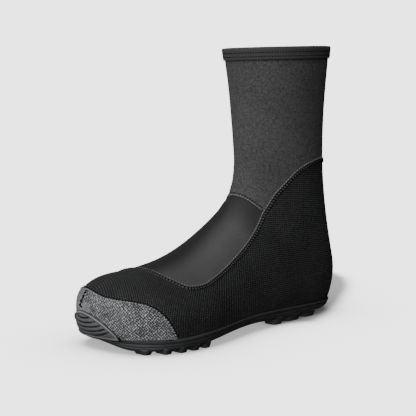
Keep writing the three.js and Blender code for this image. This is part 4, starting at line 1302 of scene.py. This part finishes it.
def makeFrontSeam():
    # The ragged seam down the front of the toe fabric.
    f = frontSeam
    heights = np.arange(f["low"], f["high"], f["pitch"])
    spots = []
    for z in heights:
        turns = np.radians(np.linspace(-75, 0, 60))
        hits = np.array([toeHit(t, z) for t in turns])
        spots.append(hits[int(np.nanargmin(np.abs(hits[:, 1] - capEdge["seamY"])))])
    spots = np.array(spots)
    out = unit(spots - np.array([toeAxis["x"], toeAxis["y"], 0]) - np.array([0, 0, 1]) * spots[:, 2:3])
    way = np.array([0, 1, 0])
    lift = skinBase + capEdge["thickness"] + f["lift"]
    jump = np.where(np.arange(len(spots)) % 2, 1.0, -1.0)[:, None]
    base = spots + out * lift
    starts = base - way * (f["inner"] + 0.5 * jump) * mm - np.array([0, 0, 0.5 * mm]) * jump
    ends = base + way * (f["outer"] - 0.4 * jump) * mm + np.array([0, 0, 0.7 * mm])
    for name, row in (("toeFrontThread", (starts, ends, out, f["radius"])),
                      ("toeFrontLine", (base[:-1], base[1:], out[:-1], f["lineRadius"]))):
        settle(capsules(name, *row, "thread", 0.8), "abrasion_fabric")


makeCapStitch()
makeFrontSeam()
print("cap stitches made")


# Floor, backdrop and light

studio = {
    "paper": 0.3, "paperGlow": 3.0, "backdrop": 3.35,
    "dome": 25.0, "fineFloor": 0.42, "rings": (110, 24), "spokes": 400,
    # painted contact shadow: how much the paper's brightness drops at the shoe's edge, and over how far this
    # fades
    "paintedContactShadow": [(0.50, 10 * mm), (0.34, 36 * mm)],
    # painted shadow of the leg on the paper behind the heel: (back, right) in mm as the camera sees it
    "paintedLegShadow": [(20, 55), (30, 87), (58, 100), (89, 110), (121, 121), (156, 129), (192, 138), (230, 144),
             (272, 146), (305, 138), (330, 118), (330, 70), (200, 50)],
    "paintedLegShadowShare": 0.88, "paintedLegShadowRun": 12 * mm,
    "keyStrength": 3.0, "keySpread": 60, "keyFrom": (0.80, 0.28, 0.50),
    # how bright the room is by direction: degrees to the left of straight behind the shoe
    "room": [(-180, 1.0), (-150, 0.45), (-110, 0.05), (-60, 0.02), (-20, 0.06), (10, 0.1), (45, 0.2),
             (90, 0.8), (130, 1.5), (180, 1.1)],
    "behind": (-0.7236, -0.6902, 0.0), "left": (0.6902, -0.7236, 0.0),
    "belowShare": 0.22,
}


def stageMesh(name, points, faces, finish):
    mesh = bpy.data.meshes.new(name)
    mesh.from_pydata(points, [], faces)
    mesh.materials.append(finish.material)
    obj = bpy.data.objects.new(name, mesh)
    bpy.context.scene.collection.objects.link(obj)
    obj.visible_diffuse = False
    obj.visible_glossy = False
    return obj


def distanceTo(outline, points):
    # From points in plan to a closed outline, nought inside it.
    best = np.full(len(points), np.inf)
    inside = np.zeros(len(points), bool)
    for a, b in zip(outline, np.roll(outline, -1, 0)):
        side = b - a
        t = np.clip(((points - a) @ side) / (side @ side), 0, 1)
        best = np.minimum(best, np.linalg.norm(points - a - t[:, None] * side, axis=-1))
        spans = (a[1] > points[:, 1]) != (b[1] > points[:, 1])
        rise = side[1] if side[1] else 1
        inside ^= spans & (points[:, 0] < a[0] + side[0] * (points[:, 1] - a[1]) / rise)
    return np.where(inside, 0, best)


def makeFloor():
    # Paper that glows evenly, with a painted contact shadow where the shoe stands on it and a painted shadow
    # of the leg behind the heel.
    reach, fine, columns = studio["dome"], studio["fineFloor"], studio["spokes"]
    near, far = studio["rings"]
    rings = np.concatenate([np.linspace(5 * mm, fine, near),
                            fine * (reach / fine) ** np.linspace(0, 1, far)[1:]])
    turn = np.linspace(0, 2 * math.pi, columns + 1)[:-1]
    points = np.stack([rings[:, None] * np.cos(turn), rings[:, None] * np.sin(turn),
                       0 * rings[:, None] + 0 * turn], -1).reshape(-1, 3)
    glow = np.ones(len(points))
    gap = distanceTo((outlineAt(0, 160) + heelAt)[:, :2], points[:, :2])
    # painted contact shadow round the footprint
    for share, run in studio["paintedContactShadow"]:
        glow -= share * np.exp(-gap / run)
    # painted shadow of the leg behind the heel
    back, right = np.array(studio["behind"][:2]), -np.array(studio["left"][:2])
    paintedLegShadow = np.array([b * back + r * right for b, r in studio["paintedLegShadow"]]) * mm
    glow *= 1 - studio["paintedLegShadowShare"] * np.exp(-(distanceTo(paintedLegShadow, points[:, :2]) / studio["paintedLegShadowRun"]) ** 2)
    faces = gridFaces(len(rings), columns, closed=True).tolist() + [tuple(range(columns))]
    f = Finish("floorPaper")
    # the paper's emission carries both painted shadows
    f.set(Base_Color=shade(studio["paper"]), Roughness=0.95, Specular_IOR_Level=0.0,
          Emission_Color=f.attribute("glow"), Emission_Strength=studio["paperGlow"])
    obj = stageMesh("floor", points.tolist(), faces, f)
    layer = obj.data.attributes.new("glow", "FLOAT_VECTOR", "POINT")
    layer.data.foreach_set("vector", np.repeat(glow, 3).astype(np.float32))
    return obj


def makeBackdrop():
    # A pale dome far behind everything, seen by the camera alone.
    reach, rows, columns = studio["dome"], 24, 48
    points = [(reach * math.cos(e) * math.cos(t), reach * math.cos(e) * math.sin(t), reach * math.sin(e))
              for e in np.linspace(-0.5 * math.pi, 0.5 * math.pi, rows)
              for t in np.linspace(0, 2 * math.pi, columns + 1)[:-1]]
    f = Finish("backdropPaper")
    f.set(Base_Color=shade(0.0), Specular_IOR_Level=0.0, Emission_Color=shade(1.0),
          Emission_Strength=studio["backdrop"])
    obj = stageMesh("backdrop", points, gridFaces(rows, columns, closed=True).tolist(), f)
    obj.visible_shadow = False
    return obj


def makeKey():
    data = bpy.data.lights.new("key", "SUN")
    data.energy = studio["keyStrength"]
    data.angle = math.radians(studio["keySpread"])
    obj = bpy.data.objects.new("key", data)
    obj.rotation_euler = (-Vector(studio["keyFrom"])).to_track_quat("-Z", "Y").to_euler()
    bpy.context.scene.collection.objects.link(obj)
    return obj


def makeRoom():
    # The light of a studio that is bright on the toe's side and dark beyond the heel.
    world = bpy.data.worlds.new("room")
    world.use_nodes = True
    f = Finish("room", world)
    way = f.add("ShaderNodeTexCoord", None, out=0)
    ahead = f.add("ShaderNodeVectorMath", {"operation": "DOT_PRODUCT"}, way, studio["behind"], out=1)
    side = f.add("ShaderNodeVectorMath", {"operation": "DOT_PRODUCT"}, way, studio["left"], out=1)
    turn = f.add("ShaderNodeMath", {"operation": "ARCTAN2"}, side, ahead) / (2 * math.pi) + 0.5
    strongest = max(level for degrees, level in studio["room"])
    stops = [(degrees / 360 + 0.5, level / strongest) for degrees, level in studio["room"]]
    level = f.add("ShaderNodeValToRGB", {"stops": stops}, turn)
    height = f.add("ShaderNodeSeparateXYZ", None, way, out=2)
    above = (height * 4.0 + 0.5).clamped() * (1 - studio["belowShare"]) + studio["belowShare"]
    background = world.node_tree.nodes["Background"]
    f.feed(background.inputs[0], level)
    f.feed(background.inputs[1], above * strongest)
    bpy.context.scene.world = world


makeFloor()
makeBackdrop()
makeKey()
makeRoom()
print("floor and light set")
